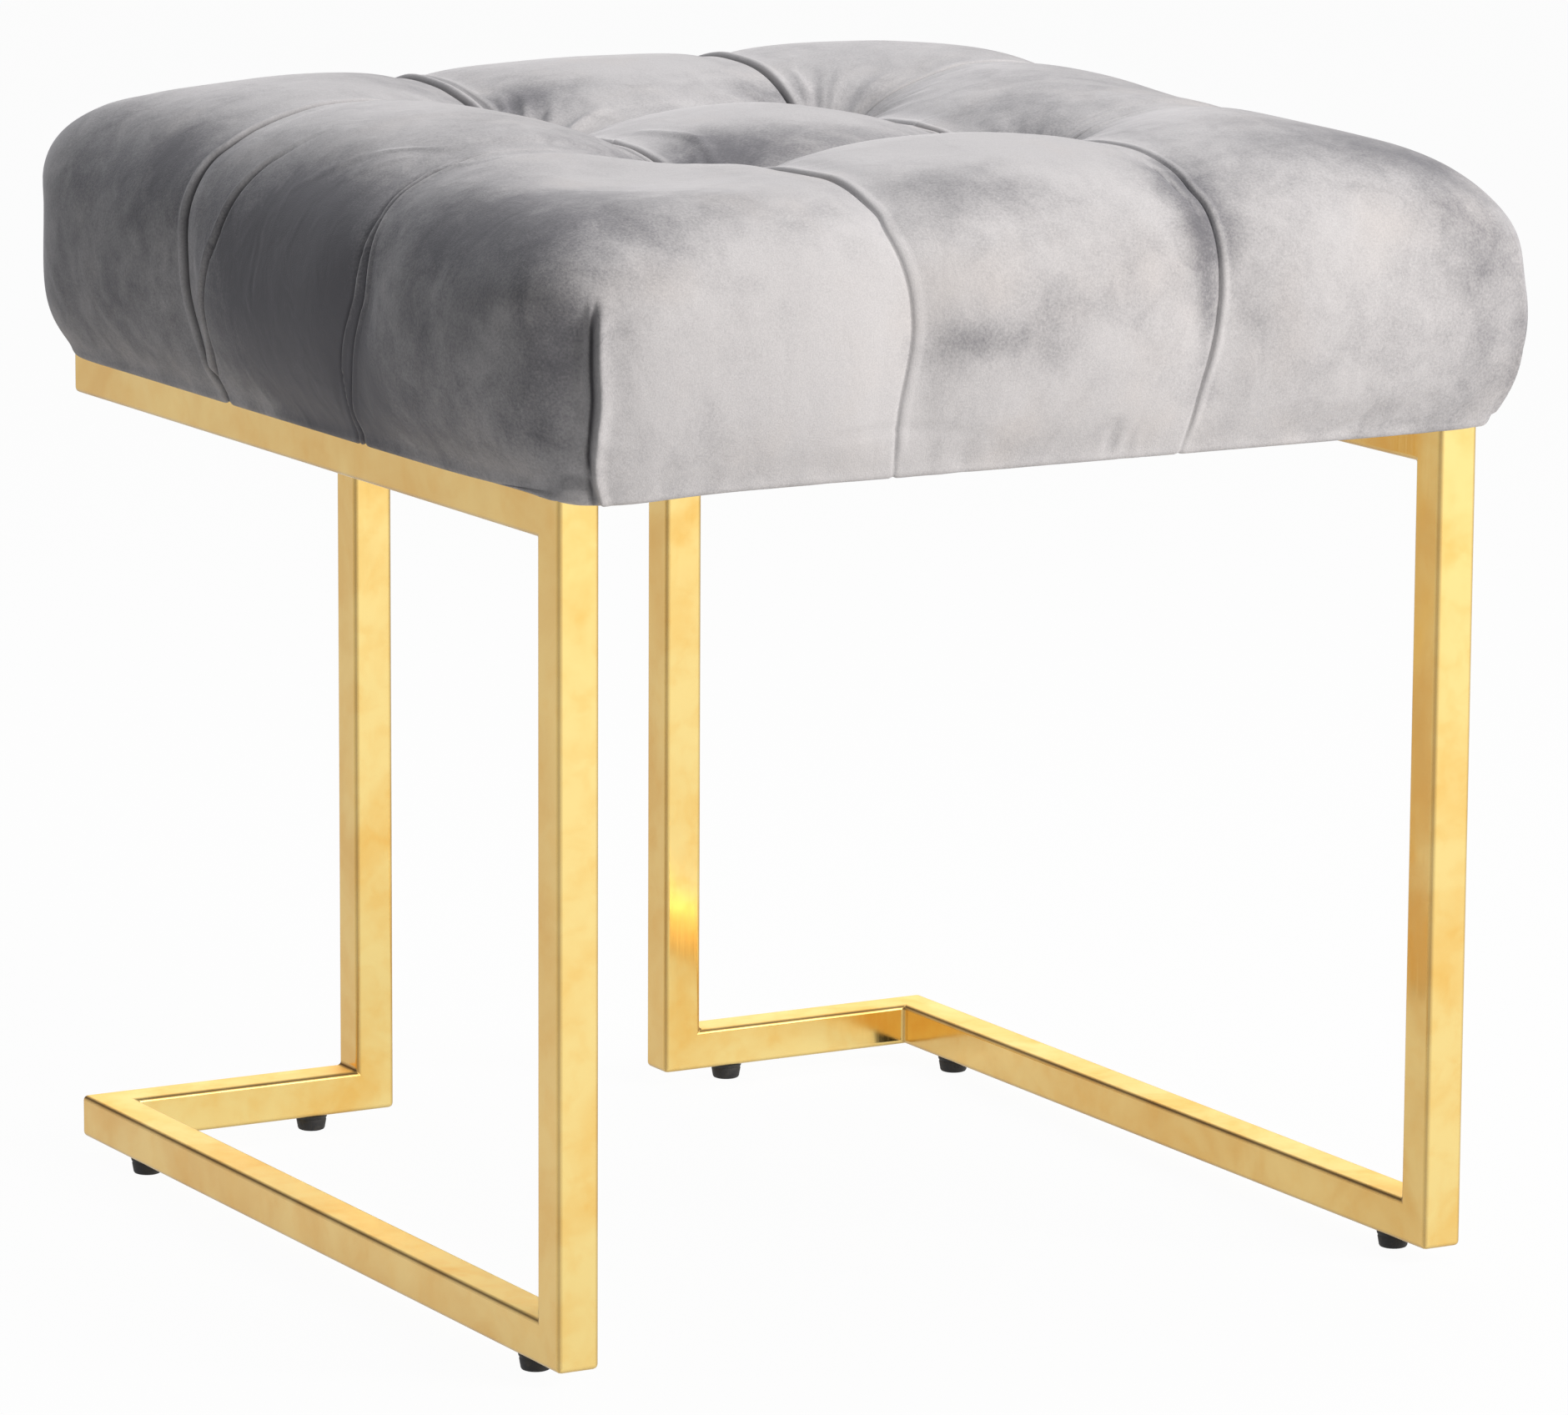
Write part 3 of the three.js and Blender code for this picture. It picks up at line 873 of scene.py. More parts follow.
@dataclass
class RubberFeet:
    """Six tapered rubber feet, each held by a screw in its recess."""

    places: tuple[str, ...] = ("front", "rear", "return")
    height: float = 8.0
    top_radius: float = 7.8
    bottom_radius: float = 6.4
    edge_radius: float = 0.9
    bore_radius: float = 2.1
    recess_radius: float = 3.7
    recess_depth: float = 4.2
    groove_height: float = 5.6
    groove_depth: float = 0.35
    segments: int = 48
    sharp_angle: float = 40.0

    def profile(self) -> list[Span]:
        """Draws the closed profile of a foot.

        Returns:
            Radius and height of each point, of which the last joins the first.
        """
        edge, groove, depth = self.edge_radius, self.groove_height, self.groove_depth
        corner = edge * (1 - math.sqrt(HALF))

        def wall(height: float, sunk: float = 0) -> Span:
            """Returns a point of the foot's tapered wall, sunk in where asked."""
            taper = (self.top_radius - self.bottom_radius) * (height / self.height)
            return self.bottom_radius + taper - sunk, height

        return [
            (self.recess_radius, 0),
            (self.bottom_radius - edge, 0),
            (self.bottom_radius - corner, corner),
            wall(edge),
            wall(groove - depth * 2),
            wall(groove, depth),
            wall(groove + depth * 2),
            (self.top_radius, self.height - edge * HALF),
            (self.top_radius - edge * HALF, self.height),
            (self.bore_radius, self.height),
            (self.bore_radius, self.recess_depth),
            (self.recess_radius, self.recess_depth),
        ]

    def build(self) -> None:
        """Builds the feet and dresses their screws."""
        for side in Side:
            for place in self.places:
                name = f"{side.name.lower()}_{place}"
                low, _, middle = box_mm(f"foot_{name}")
                builder = MeshBuilder()
                builder.skin([
                    circle((middle.x, middle.y, low.z + height), radius, self.segments)
                    for radius, height in self.profile()
                ], closed=True)
                foot = builder.piece(f"rubber_foot_{name}")
                add_modifier(foot, "EDGE_SPLIT", {"split_angle": math.radians(self.sharp_angle)})
                settle(foot, RUBBER, [f"foot_{name}"])
                dress_solid(f"foot_screw_{name}", STEEL)


@dataclass
class SeatBase:
    """Board, screws, washers and tee nuts under the seat."""

    fixings: tuple[str, ...] = ("seat_screw", "tee_nut", "tuft_washer")

    def build(self) -> None:
        """Dresses the board and its fixings."""
        dress_solid("seat_board", PLYWOOD)
        for end in ENDS:
            for side in Side:
                for fixing in self.fixings:
                    dress_solid(f"{fixing}_{end}_{side.name.lower()}", STEEL)


@dataclass
class DustCover:
    """Black cloth stapled under the board, slightly slack in the middle."""

    spacing: float = 6.0
    thickness: float = 0.5
    corner_radius: float = 18.0
    slack: float = 3.0
    slack_start: float = 120.0
    slack_margin_x: float = 60.0
    slack_margin_y: float = 40.0
    ripple: float = 0.5
    ripple_length_x: float = 34.0
    ripple_length_y: float = 34.0 / 0.7
    staple_spacing: float = 38.0
    staple_inset: float = 5.0
    staple_length: float = 11.0
    staple_wire: float = 0.45
    lift: float = 0.05

    def build_cloth(self) -> None:
        """Builds the cloth as one thin sheet."""
        low, high, centre = box_mm("dust_cover")
        half_x, half_y, radius = high.x - centre.x, high.y - centre.y, self.corner_radius

        def spot(across: float, along: float) -> Point:
            """Returns the cloth's place at a share of its half width and half length.

            Args:
                across: Share of the half width.
                along: Share of the half length.

            Returns:
                The place, inside the rounded corners and hanging down where the cloth is slack.
            """
            x, y = half_x * across, half_y * along
            over_x, over_y = abs(x) - half_x + radius, abs(y) - half_y + radius
            if over_x > 0 and over_y > 0:
                shrink = max(over_x, over_y) / math.hypot(over_x, over_y)
                x = math.copysign(half_x - radius + over_x * shrink, x)
                y = math.copysign(half_y - radius + over_y * shrink, y)
            free_x = (half_x - self.slack_margin_x - abs(x)) / self.slack_start
            free_y = (half_y - self.slack_margin_y - abs(y)) / self.slack_start
            ease = min(1.0, max(0.0, free_x)) * min(1.0, max(0.0, free_y))
            waves = math.sin(x / self.ripple_length_x) * math.cos(y / self.ripple_length_y)
            drop = self.slack * math.sin(ease * math.pi * HALF) ** 2 + self.ripple * ease * waves
            return centre.x + x, centre.y + y, high.z - self.lift - drop

        columns, rows = shares_of(2 * half_x, self.spacing), shares_of(2 * half_y, self.spacing)
        builder = MeshBuilder()
        builder.grid([[spot(across, along) for across in columns] for along in rows])
        cloth = builder.piece("dust_cover_cloth")
        add_modifier(cloth, "SOLIDIFY", {"thickness": self.thickness * MM, "offset": -1.0})
        settle(cloth, CLOTH, ["dust_cover"])

    def build_staples(self) -> None:
        """Builds the staples along the cloth's edges."""
        low, high, _ = box_mm("dust_cover")
        builder = MeshBuilder()
        wire, half, z = self.staple_wire, self.staple_length * HALF, low.z + self.staple_wire * HALF
        margin = self.staple_inset + self.corner_radius + self.staple_length
        for axis in (0, 1):
            other = 1 - axis
            start, run = low[axis] + margin, high[axis] - low[axis] - 2 * margin
            count = round(run / self.staple_spacing)
            for fixed in (low[other] + self.staple_inset, high[other] - self.staple_inset):
                for along in (start + run * index / count for index in range(count + 1)):
                    rings = [
                        [(along + end, fixed + wire * x, z + wire * y * HALF) for x, y in QUARTERS]
                        for end in (-half, half)
                    ]
                    builder.skin([[(spot[axis], spot[other], spot[2]) for spot in ring] for ring in rings])
        settle(builder.piece("dust_cover_staples", smooth_faces=False), STEEL)

    def build(self) -> None:
        """Builds the cloth and its staples."""
        self.build_cloth()
        self.build_staples()


@dataclass
class FoamPad:
    """The foam block, pulled down a little where the twines pass."""

    spacing: float = 11.0
    edge_radius: float = 8.0
    edge_segments: int = 4
    dimple_depth: float = 7.0
    dimple_radius: float = 26.0
    tuft_x: float = 80.0
    tuft_y: float = 88.0

    def build(self) -> None:
        """Builds the foam."""
        low, high, middle = box_mm("foam_block")
        half_x, half_y = high.x - middle.x, high.y - middle.y

        def top(x: float, y: float) -> float:
            """Returns the foam's height at a place."""
            reach = math.hypot(abs(x) - self.tuft_x, abs(y) - self.tuft_y)
            return high.z - self.dimple_depth * bell(reach, self.dimple_radius)

        xs = [half_x * share for share in shares_of(2 * half_x, self.spacing)]
        ys = [half_y * share for share in shares_of(2 * half_y, self.spacing)]
        builder = MeshBuilder()
        upper = builder.grid([[(x, y, top(x, y)) for x in xs] for y in ys])
        lower = builder.grid([[(x, y, low.z) for x in xs] for y in ys])
        builder.join(border_of(lower), border_of(upper))
        block = builder.piece("foam_pad")
        add_modifier(block, "BEVEL", {
            "width": self.edge_radius * MM,
            "segments": self.edge_segments,
            "limit_method": "ANGLE",
        })
        settle(block, FOAM, ["foam_block"])


@dataclass
class TuftPulls:
    """The twisted twines that pull the tufts down."""

    strand_radius: float = 0.62
    twist_radius: float = 0.55
    twist_pitch: float = 5.0
    steps_in_a_turn: int = 10
    strand_segments: int = 6
    strands: int = 2
    rise: float = 14.0

    def build_twine(self, place: str) -> None:
        """Builds one twine.

        Args:
            place: The end and the side of its tuft.
        """
        low, high, middle = box_mm(f"tuft_twine_{place}")
        length = high.z + self.rise - low.z
        steps = round(length / self.twist_pitch * self.steps_in_a_turn)
        builder = MeshBuilder()
        for strand in range(self.strands):
            rings = []
            for step in range(steps + 1):
                turn = math.tau * (step / self.steps_in_a_turn + strand / self.strands)
                x = middle.x + self.twist_radius * math.cos(turn)
                y = middle.y + self.twist_radius * math.sin(turn)
                z = low.z + length * step / steps
                rings.append(circle((x, y, z), self.strand_radius, self.strand_segments))
            builder.skin(rings)
        settle(builder.piece(f"twisted_twine_{place}"), TWINE, [f"tuft_twine_{place}"])

    def build(self) -> None:
        """Builds the four twines."""
        for end in ENDS:
            for side in Side:
                self.build_twine(f"{end}_{side.name.lower()}")


# The tufted cover


@dataclass(frozen=True)
class Pleat:
    """A crease in the velvet beside a fold's line, where the fabric rolls over in a lip.

    Its offset from the line and its depth change with the distance beyond the tuft.
    """

    depth: Knots
    start: float = -95.0
    offset: Knots = ((0, 0),)
    lip_height: float = 1.7
    lip_radius: float = 2.6
    width: float = 1.2
    lap_side: int = 1
    lap_share: float = 0.5
    lap_reach: float = 7.0
    overhang: float = 0.7

    def lip(self, place: np.ndarray) -> np.ndarray:
        """Returns the height of the rolled lip and of the lap that follows it.

        Args:
            place: Distances from the crease, towards the lap.

        Returns:
            The heights.
        """
        past = place - self.lip_radius
        rolled = np.sqrt(np.clip(1 - (past / self.lip_radius) ** 2, 0, 1))
        fading = np.exp(-np.clip(past, 0, None) / self.lap_reach)
        lap = self.lap_share * smooth(place / self.lip_radius) * fading
        return self.lip_height * np.maximum(rolled, lap)


@dataclass(frozen=True)
class Fold:
    """One fold from its tuft outwards: how deep its valley is, and the pleats beside it."""

    axis: FoldAxis
    line: int
    end: int
    depth: Knots = ((0, 24), (38, 11), (77, 3), (102, 2), (133, 3), (215, 5), (270, 2))
    pleats: tuple[Pleat, ...] = ()


@dataclass(frozen=True)
class CornerPleat:
    """The folded-in slit at a corner of the cover, past which the side is tucked in."""

    side: Side
    end: End
    depth: float = 3.5
    tuck: float = 9.0
    lip_height: float = 1.6
    start_height: float = 476.0
    full_height: float = 458.0
    width: float = 1.8
    lip_place: float = 2.4
    lip_width: float = 1.4
    lip_slide: float = 1.2
    tuck_start: float = 5.0
    tuck_reach: float = 62.0
    tuck_low_share: float = 0.55
    tuck_fade: float = 40.0
    lean: float = 10.0
    lean_height: float = 436.0


@dataclass(frozen=True)
class Wrinkle:
    """A fine ridge, or a furrow where its height is negative, along a line in the cover's spread.

    The spread is the cover laid out flat: the top's own places, with the sides folded out.
    """

    path: tuple[Span, ...]
    height: float
    width: float

    def rise(self, spread: np.ndarray) -> np.ndarray:
        """Returns the wrinkle's height at places in the spread.

        Args:
            spread: The places.

        Returns:
            The heights, which fade at the wrinkle's ends.
        """
        total = np.zeros(len(spread))
        count = len(self.path) - 1
        for index, (start, stop) in enumerate(zip(self.path, self.path[1:])):
            begin = np.array(start)
            along = np.array(stop) - begin
            share = np.clip((spread - begin) @ along / (along @ along), 0, 1)
            away = np.linalg.norm(spread - begin - share[:, None] * along, axis=1)
            fade = np.sin(np.pi * (index + share) / count) ** HALF
            total = np.maximum(total, fade * bell(away, self.width))
        return self.height * total


@dataclass(frozen=True)
class Patch:
    """A soft patch of the cover: how far it moves, or how much painted shade it adds, painted light where
    the amount is negative.
    """

    place: Point
    reach: Point
    amount: Union[float, Point]

    def at(self, points: np.ndarray) -> np.ndarray:
        """Returns the patch's amount at some points."""
        share = np.exp(-np.sum(((points - self.place) / np.array(self.reach)) ** 2, axis=1))
        return np.multiply.outer(share, self.amount)


class CoverSkin:
    """The cover's mesh as arrays: points in millimetres, normals and places on its own grid.

    Column and row are places across and along the flat top; down is the distance over its edge.
    """

    def __init__(self, form: bpy.types.Object) -> None:
        """Reads the cover's mesh.

        Args:
            form: The cover.
        """
        mesh = form.data
        mesh.update()
        self.form = form
        self.points = read_values(mesh.vertices, "co", 3) / MM
        self.normals = read_values(mesh.vertices, "normal", 3)
        places = [read_values(mesh.attributes[name].data, "value") for name in GRID_NAMES]
        self.column, self.row, self.down = places
        self.height = self.points[:, 2]

    def move(self, points: np.ndarray) -> None:
        """Moves the mesh's points to places in millimetres."""
        self.form.data.vertices.foreach_set("co", (points * MM).astype(np.float32).ravel())
        self.form.data.update()


class Relief:
    """What creases and wrinkles add to the cover's points, and the painted shade and painted highlight that
    they add to the velvet's colour.
    """

    def __init__(self, count: int) -> None:
        """Starts flat, for a number of points."""
        # The second row holds the painted highlight of the pleats' lips, the third the painted shade of
        # their grooves.
        self.rise, self.worn, self.painted_crease_shade = np.zeros((3, count))
        self.slide = np.zeros((count, 3))


@dataclass
class TuftedCover:
    """The velvet cover: nine puffed panels between four tufts, rolled edges, pleats and hem."""

    half_width: float = 256.9
    front_reach: float = 270.7
    rear_reach: float = 272.4
    plan_exponent: float = 12.7
    plan_fade: int = 6
    bottom_exponent: float = 18.0
    bulge_height: float = 455.7
    roll_height: float = 51.4
    roll_exponent: float = 8.2
    roll_power: float = 2.9
    crown_height: float = 24.2
    crown_exponent: float = 2.68
    shoulder_share: float = 0.9
    skirt_bottom: float = 391.0
    side_inset: float = 19.6
    front_inset: float = 13.7
    rear_inset: float = 14.5
    lip_radius: float = 2.3
    lip_drop: float = 1.2
    front_droop: float = 2.2
    side_droop: float = 3.4
    droop_row: Span = (0.75, 0.95)
    droop_column: Span = (1.04, 0.94)
    hem_height: float = 389.3
    hem_inner: float = 203.0
    hem_thickness: float = 1.2
    tuft_x: float = 80.0
    tuft_y: float = 88.0
    crease_left: float = 0.912
    crease_right: float = 0.955
    open_spacing: float = 7.0
    spacing_slack: float = 0.3
    line_gap: float = 0.9
    cluster: tuple[float, ...] = (
        1.5, 3.0, 4.6, 6.6, 9.2, 12.0, 15.0, 18.0, 21.5, 25.5, 30.0, 35.0, 41.0,
    )
    side_cluster: tuple[float, float, float] = (11.0, 88.0, 2.2)
    crease_cluster: tuple[float, ...] = (1.2, 2.4, 3.8, 5.6, 8.0)
    edge_rows: tuple[tuple[EdgePart, int], ...] = (
        (EdgePart.ROLL, 10), (EdgePart.SKIRT, 13), (EdgePart.LIP, 6), (EdgePart.HEM, 2),
    )
    wander_front_left: Knots = ((88, 0), (245, 1), (270, 8), (300, 13), (325, 8), (348, 3), (363, 2))
    wander_front_right: Knots = ((88, 0), (245, -2), (270, -9), (315, -12), (340, -15.5), (363, -17))
    wander_side_rear: Knots = (
        (80, 0), (231, -3), (250, -13), (281, -15), (315, -15), (330, -18), (348, -17),
    )
    wander_side_front: Knots = ((80, 0), (231, -3), (281, -5), (305, 8), (330, 19), (348, 26))
    wander_width: float = 48.0
    wander_right_share: float = 0.4
    dish_depth: float = 16.0
    dish_share: float = 0.78
    dish_power: float = 1.5
    dish_exponent: float = 2.6
    inner_depth: Knots = ((-88, 14.5), (-63, 16.0), (-40, 19.0), (0, 24.0))
    fold_inner_reach: Span = (80.0, 40.0)
    fold_outer_reach: Span = (76.0, 40.0)
    fold_power: Span = (1.25, 1.7)
    fold_side: Span = (-40.0, 20.0)
    fold_round: float = 1.6
    fold_fade: float = 30.0
    join_power: float = 3.0
    pit_depth: float = 13.0
    pit_radius: float = 25.0
    pin_reach: Span = (5.0, 22.0)
    pin_rise: Span = (2.0, 16.0)
    pin_margin: float = 2.0
    pin_least: float = 0.01
    puff_frames: int = 12
    puff_cap: float = 3.2
    puff_pressure: float = 400.0
    puff_quality: int = 3
    cloth_stiffness: float = 10.0
    shear_stiffness: float = 4.0
    bending_stiffness: float = 0.4
    seed: int = 7
    wrinkle_height: float = 2.4
    wrinkle_reach: float = 27.0
    wrinkle_counts: tuple[int, ...] = (11, 17, 23)
    wrinkle_sharpness: float = 2.2
    pucker_count: int = 15
    pucker_place: Span = (-0.93, 0.93)
    pucker_slant: float = 0.5
    pucker_length: float = 26.0
    pucker_lengths: Span = (0.5, 1.4)
    pucker_height: float = 0.9
    pucker_heights: Span = (-1, 0.8)
    pucker_width: float = 3.4
    pucker_widths: Span = (0.8, 1.5)
    pucker_fade: float = 6.0
    pleat_fade: float = 4.0
    lip_fade: float = 14.0
    face_margin: float = 1.5
    hem_margin: float = 2.0
    nap_ground: float = 0.27
    # Painted shade in the pits round each tuft; a negative amount paints light instead.
    nap_tufts: tuple[tuple[Side, End, float], ...] = (
        (Side.LEFT, End.FRONT, 0.85), (Side.RIGHT, End.FRONT, 0.62),
        (Side.LEFT, End.REAR, 0.02), (Side.RIGHT, End.REAR, -0.15),
    )
    nap_tuft_reach: float = 36.0
    # Painted highlight: how much lighter the pleats' lips are painted.
    nap_lip: float = -0.42
    # Painted shade in the creases: full at the first depth, and scaled by the second share in the corner
    # slits.
    black_depth: float = 3.5
    corner_shade: float = 0.18
    inner_gap: float = 0.4
    foam_inset: float = 6.0
    foam_foot: float = 4.0
    folds: tuple[Fold, ...] = (
        Fold(
            FoldAxis.FRONT_TO_REAR, -1, -1,
            ((0, 24), (38, 15), (71, 11.5), (103, 11), (139, 9), (175, 7), (215, 6), (285, 2)),
            (
                Pleat(((-95, 1.8), (0, 2.0), (125, 1.7), (165, 0.9), (290, 0.7))),
                Pleat(
                    ((-90, 0), (-70, 1.8), (-10, 1.8), (25, 0)), -90,
                    ((-95, -4.0), (-40, -4.5), (20, -3.5)), 1.2, 1.6,
                ),
            ),
        ),
        Fold(
            FoldAxis.FRONT_TO_REAR, 1, -1,
            ((0, 24), (38, 13), (73, 8.5), (106, 6), (141, 4), (175, 5), (215, 4), (285, 1.5)),
            (
                Pleat(
                    ((-95, 1.6), (0, 1.4), (60, 0.9), (130, 1.2), (170, 1.6), (240, 1.2), (290, 0.6)),
                    lip_height=1.4, lip_radius=1.9,
                ),
                Pleat(
                    ((-90, 0), (-60, 1.4), (-20, 1.2), (10, 0)), -90,
                    ((-95, -4.0), (-40, -4.5), (20, -3.5)), 1.0, 1.6,
                ),
                Pleat(
                    ((20, 0), (60, 0.6), (150, 0.7), (190, 0)), 20,
                    ((20, -6), (60, -8), (120, -11), (170, -6), (230, -5)), 0.6, 1.6,
                ),
            ),
        ),
        Fold(
            FoldAxis.FRONT_TO_REAR, -1, 1,
            ((0, 24), (38, 17), (76, 9), (115, 4), (160, 4), (285, 2)),
            (
                Pleat(((-95, 1.4), (0, 2.6), (100, 2.6), (290, 1.6)), lip_height=2.2),
                Pleat(
                    ((-10, 0), (20, 1.7), (90, 1.5), (140, 0)), -12,
                    ((0, 5.0), (60, 5.5), (120, 4.5)), 1.2, 2.0,
                ),
            ),
        ),
        Fold(
            FoldAxis.FRONT_TO_REAR, 1, 1,
            ((0, 24), (20, 13), (51, 6), (98, 2), (160, 3), (285, 2)),
            (Pleat(((-95, 1.4), (0, 2.6), (100, 2.6), (290, 1.6)), lip_height=2.0),),
        ),
        Fold(FoldAxis.SIDE_TO_SIDE, 1, -1, pleats=(
            Pleat(
                ((-20, 0), (20, 0.9), (90, 2.0), (150, 3.0), (200, 3.6), (290, 3.0)), -20,
                lip_height=2.0, lip_radius=2.2, width=1.5,
            ),
            Pleat(
                ((130, 0), (160, 1.8), (185, 3.0), (255, 3.4), (290, 2.5)), 128,
                (
                    (130, -72), (145, -63), (160, -55), (178, -49), (198, -43), (218, -31),
                    (233, -21), (253, -11), (270, -3),
                ),
                1.9, 2.2, 1.5,
            ),
        )),
        Fold(
            FoldAxis.SIDE_TO_SIDE, -1, -1,
            ((0, 24), (38, 12), (76, 4.5), (107, 2), (127, 3.5), (150, 5), (215, 5), (270, 2)),
            (
                Pleat(
                    ((20, 0), (90, 1.0), (150, 2.6), (200, 3.6), (290, 2.6)), 10,
                    lip_height=2.0, lip_radius=2.2, width=1.5, lap_side=-1,
                ),
                Pleat(
                    ((120, 0), (160, 1.6), (215, 2.4), (265, 1.6)), 110,
                    ((120, 6), (170, 4), (200, 8), (245, 10), (265, 5)), 1.5, 1.8, lap_side=-1,
                ),
            ),
        ),
        Fold(FoldAxis.SIDE_TO_SIDE, 1, 1, pleats=(
            Pleat(
                ((-20, 0), (20, 1.0), (110, 1.2), (200, 2.4), (290, 1.6)), -20,
                lip_height=1.3, lip_radius=2.0,
            ),
            Pleat(
                ((100, 0), (150, 1.0), (255, 1.8), (290, 1.2)), 95,
                ((90, -26), (150, -22), (200, -15), (250, -7), (270, -3)), 1.1, 1.8,
            ),
        )),
        Fold(FoldAxis.SIDE_TO_SIDE, -1, 1, pleats=(
            Pleat(
                ((-10, 0), (30, 1.2), (110, 1.2), (150, 2.0), (290, 1.6)), -10,
                lip_height=1.3, lip_radius=2.0, lap_side=-1,
            ),
        )),
    )
    corner_pleats: tuple[CornerPleat, ...] = (
        CornerPleat(Side.LEFT, End.FRONT, depth=5.0),
        CornerPleat(Side.RIGHT, End.FRONT, 3.0, 1.5, lip_height=0.9, start_height=480.0),
        CornerPleat(Side.LEFT, End.REAR, tuck=1.6),
        CornerPleat(Side.RIGHT, End.REAR, tuck=1.8),
    )
    wrinkles: tuple[Wrinkle, ...] = (
        Wrinkle(((-250, -6), (-235, -22), (-220, -40), (-203, -65), (-186, -79)), 0.8, 1.5),
        Wrinkle(((-241, -37), (-227, -52), (-212, -64)), 0.6, 1.4),
        Wrinkle(((-232, -76), (-214, -84), (-196, -100), (-176, -104)), 0.7, 1.4),
        Wrinkle(((-63, 8), (-57, -16), (-53, -34), (-57, -51), (-64, -72)), 1.7, 2.6),
        Wrinkle(((-76, 104), (-70, 122), (-63, 141)), 2.3, 1.9),
        Wrinkle(((-70, 102), (-62, 117), (-54, 133)), 2.2, 1.8),
        Wrinkle(((-65, 98), (-53, 110), (-42, 124)), 2.1, 1.9),
        Wrinkle(((-60, 92), (-44, 98), (-28, 104)), 1.7, 2.0),
        Wrinkle(((86, 104), (91, 122), (92, 140)), 1.4, 2.0),
        Wrinkle(((92, 100), (103, 114), (114, 126)), 1.4, 2.0),
        Wrinkle(((75, 104), (69, 119), (62, 132)), 1.3, 2.0),
        Wrinkle(((98, 94), (114, 101), (130, 106)), 1.2, 2.0),
        Wrinkle(((100, -84), (118, -78), (140, -76), (166, -80)), 0.9, 1.6),
        Wrinkle(((98, -92), (116, -92), (138, -88)), 0.8, 1.5),
        Wrinkle(((-112, -353), (-80, -352), (-42, -354)), -0.9, 1.1),
        Wrinkle(((-70, -357), (-52, -356), (-36, -357)), -0.7, 1.0),
        Wrinkle(((-232, -330), (-214, -345), (-196, -352)), 0.9, 2.2),
        Wrinkle(((128, -376), (135, -367), (144, -357)), -1.6, 3.2),
        Wrinkle(((143, -376), (150, -369), (159, -358)), -2.0, 3.2),
        Wrinkle(((164, -374), (170, -364), (179, -354)), -1.8, 3.2),
        Wrinkle(((186, -374), (194, -362), (204, -350)), 1.3, 3.2),
        Wrinkle(((33, -376), (32, -366), (29, -354)), -1.6, 3.2),
        Wrinkle(((-344, 150), (-322, 160), (-300, 164)), 0.9, 2.4),
        Wrinkle(((-342, 196), (-322, 200), (-304, 212)), 0.8, 2.2),
        Wrinkle(((-344, -168), (-322, -176), (-304, -178)), 0.9, 2.6),
        Wrinkle(((-346, -208), (-326, -214), (-306, -226)), 0.9, 2.2),
    )
    shape_patches: tuple[Patch, ...] = (
        Patch((-152, -162, 515), (58, 56, 60), (0, 0, -15.0)),
        Patch((-98, -162, 510), (24, 36, 60), (0, 0, 3.5)),
        Patch((-76, -208, 508), (32, 32, 40), (0, 0, 3.5)),
        Patch((-10, -190, 519), (58, 55, 60), (0, 0, -4.5)),
        Patch((-180, 200, 515), (60, 60, 60), (0, 0, -1.5)),
        Patch((0, 210, 515), (75, 60, 60), (0, 0, -2.5)),
        Patch((235, 245, 495), (46, 46, 60), (0, 0, 7.5)),
        Patch((-235, 250, 495), (60, 40, 60), (0, 0, 4.5)),
        Patch((200, 110, 515), (55, 50, 60), (0, 0, 3.0)),
        Patch((195, -30, 515), (55, 45, 60), (0, 0, -4.5)),
        Patch((200, -150, 515), (60, 75, 60), (0, 0, -4.2)),
        Patch((250, -254, 484), (36, 36, 40), (0, 0, -6.0)),
        Patch((-250, 265, 398), (50, 50, 28), (-7.5, 0, 0)),
        Patch((-250, 262, 450), (40, 50, 26), (1.6, -2.0, 0)),
        Patch((252, -262, 408), (55, 55, 42), (6.5, 0, 0)),
        Patch((-216, -262, 392), (34, 24, 16), (0, -1.0, -2.5)),
    )
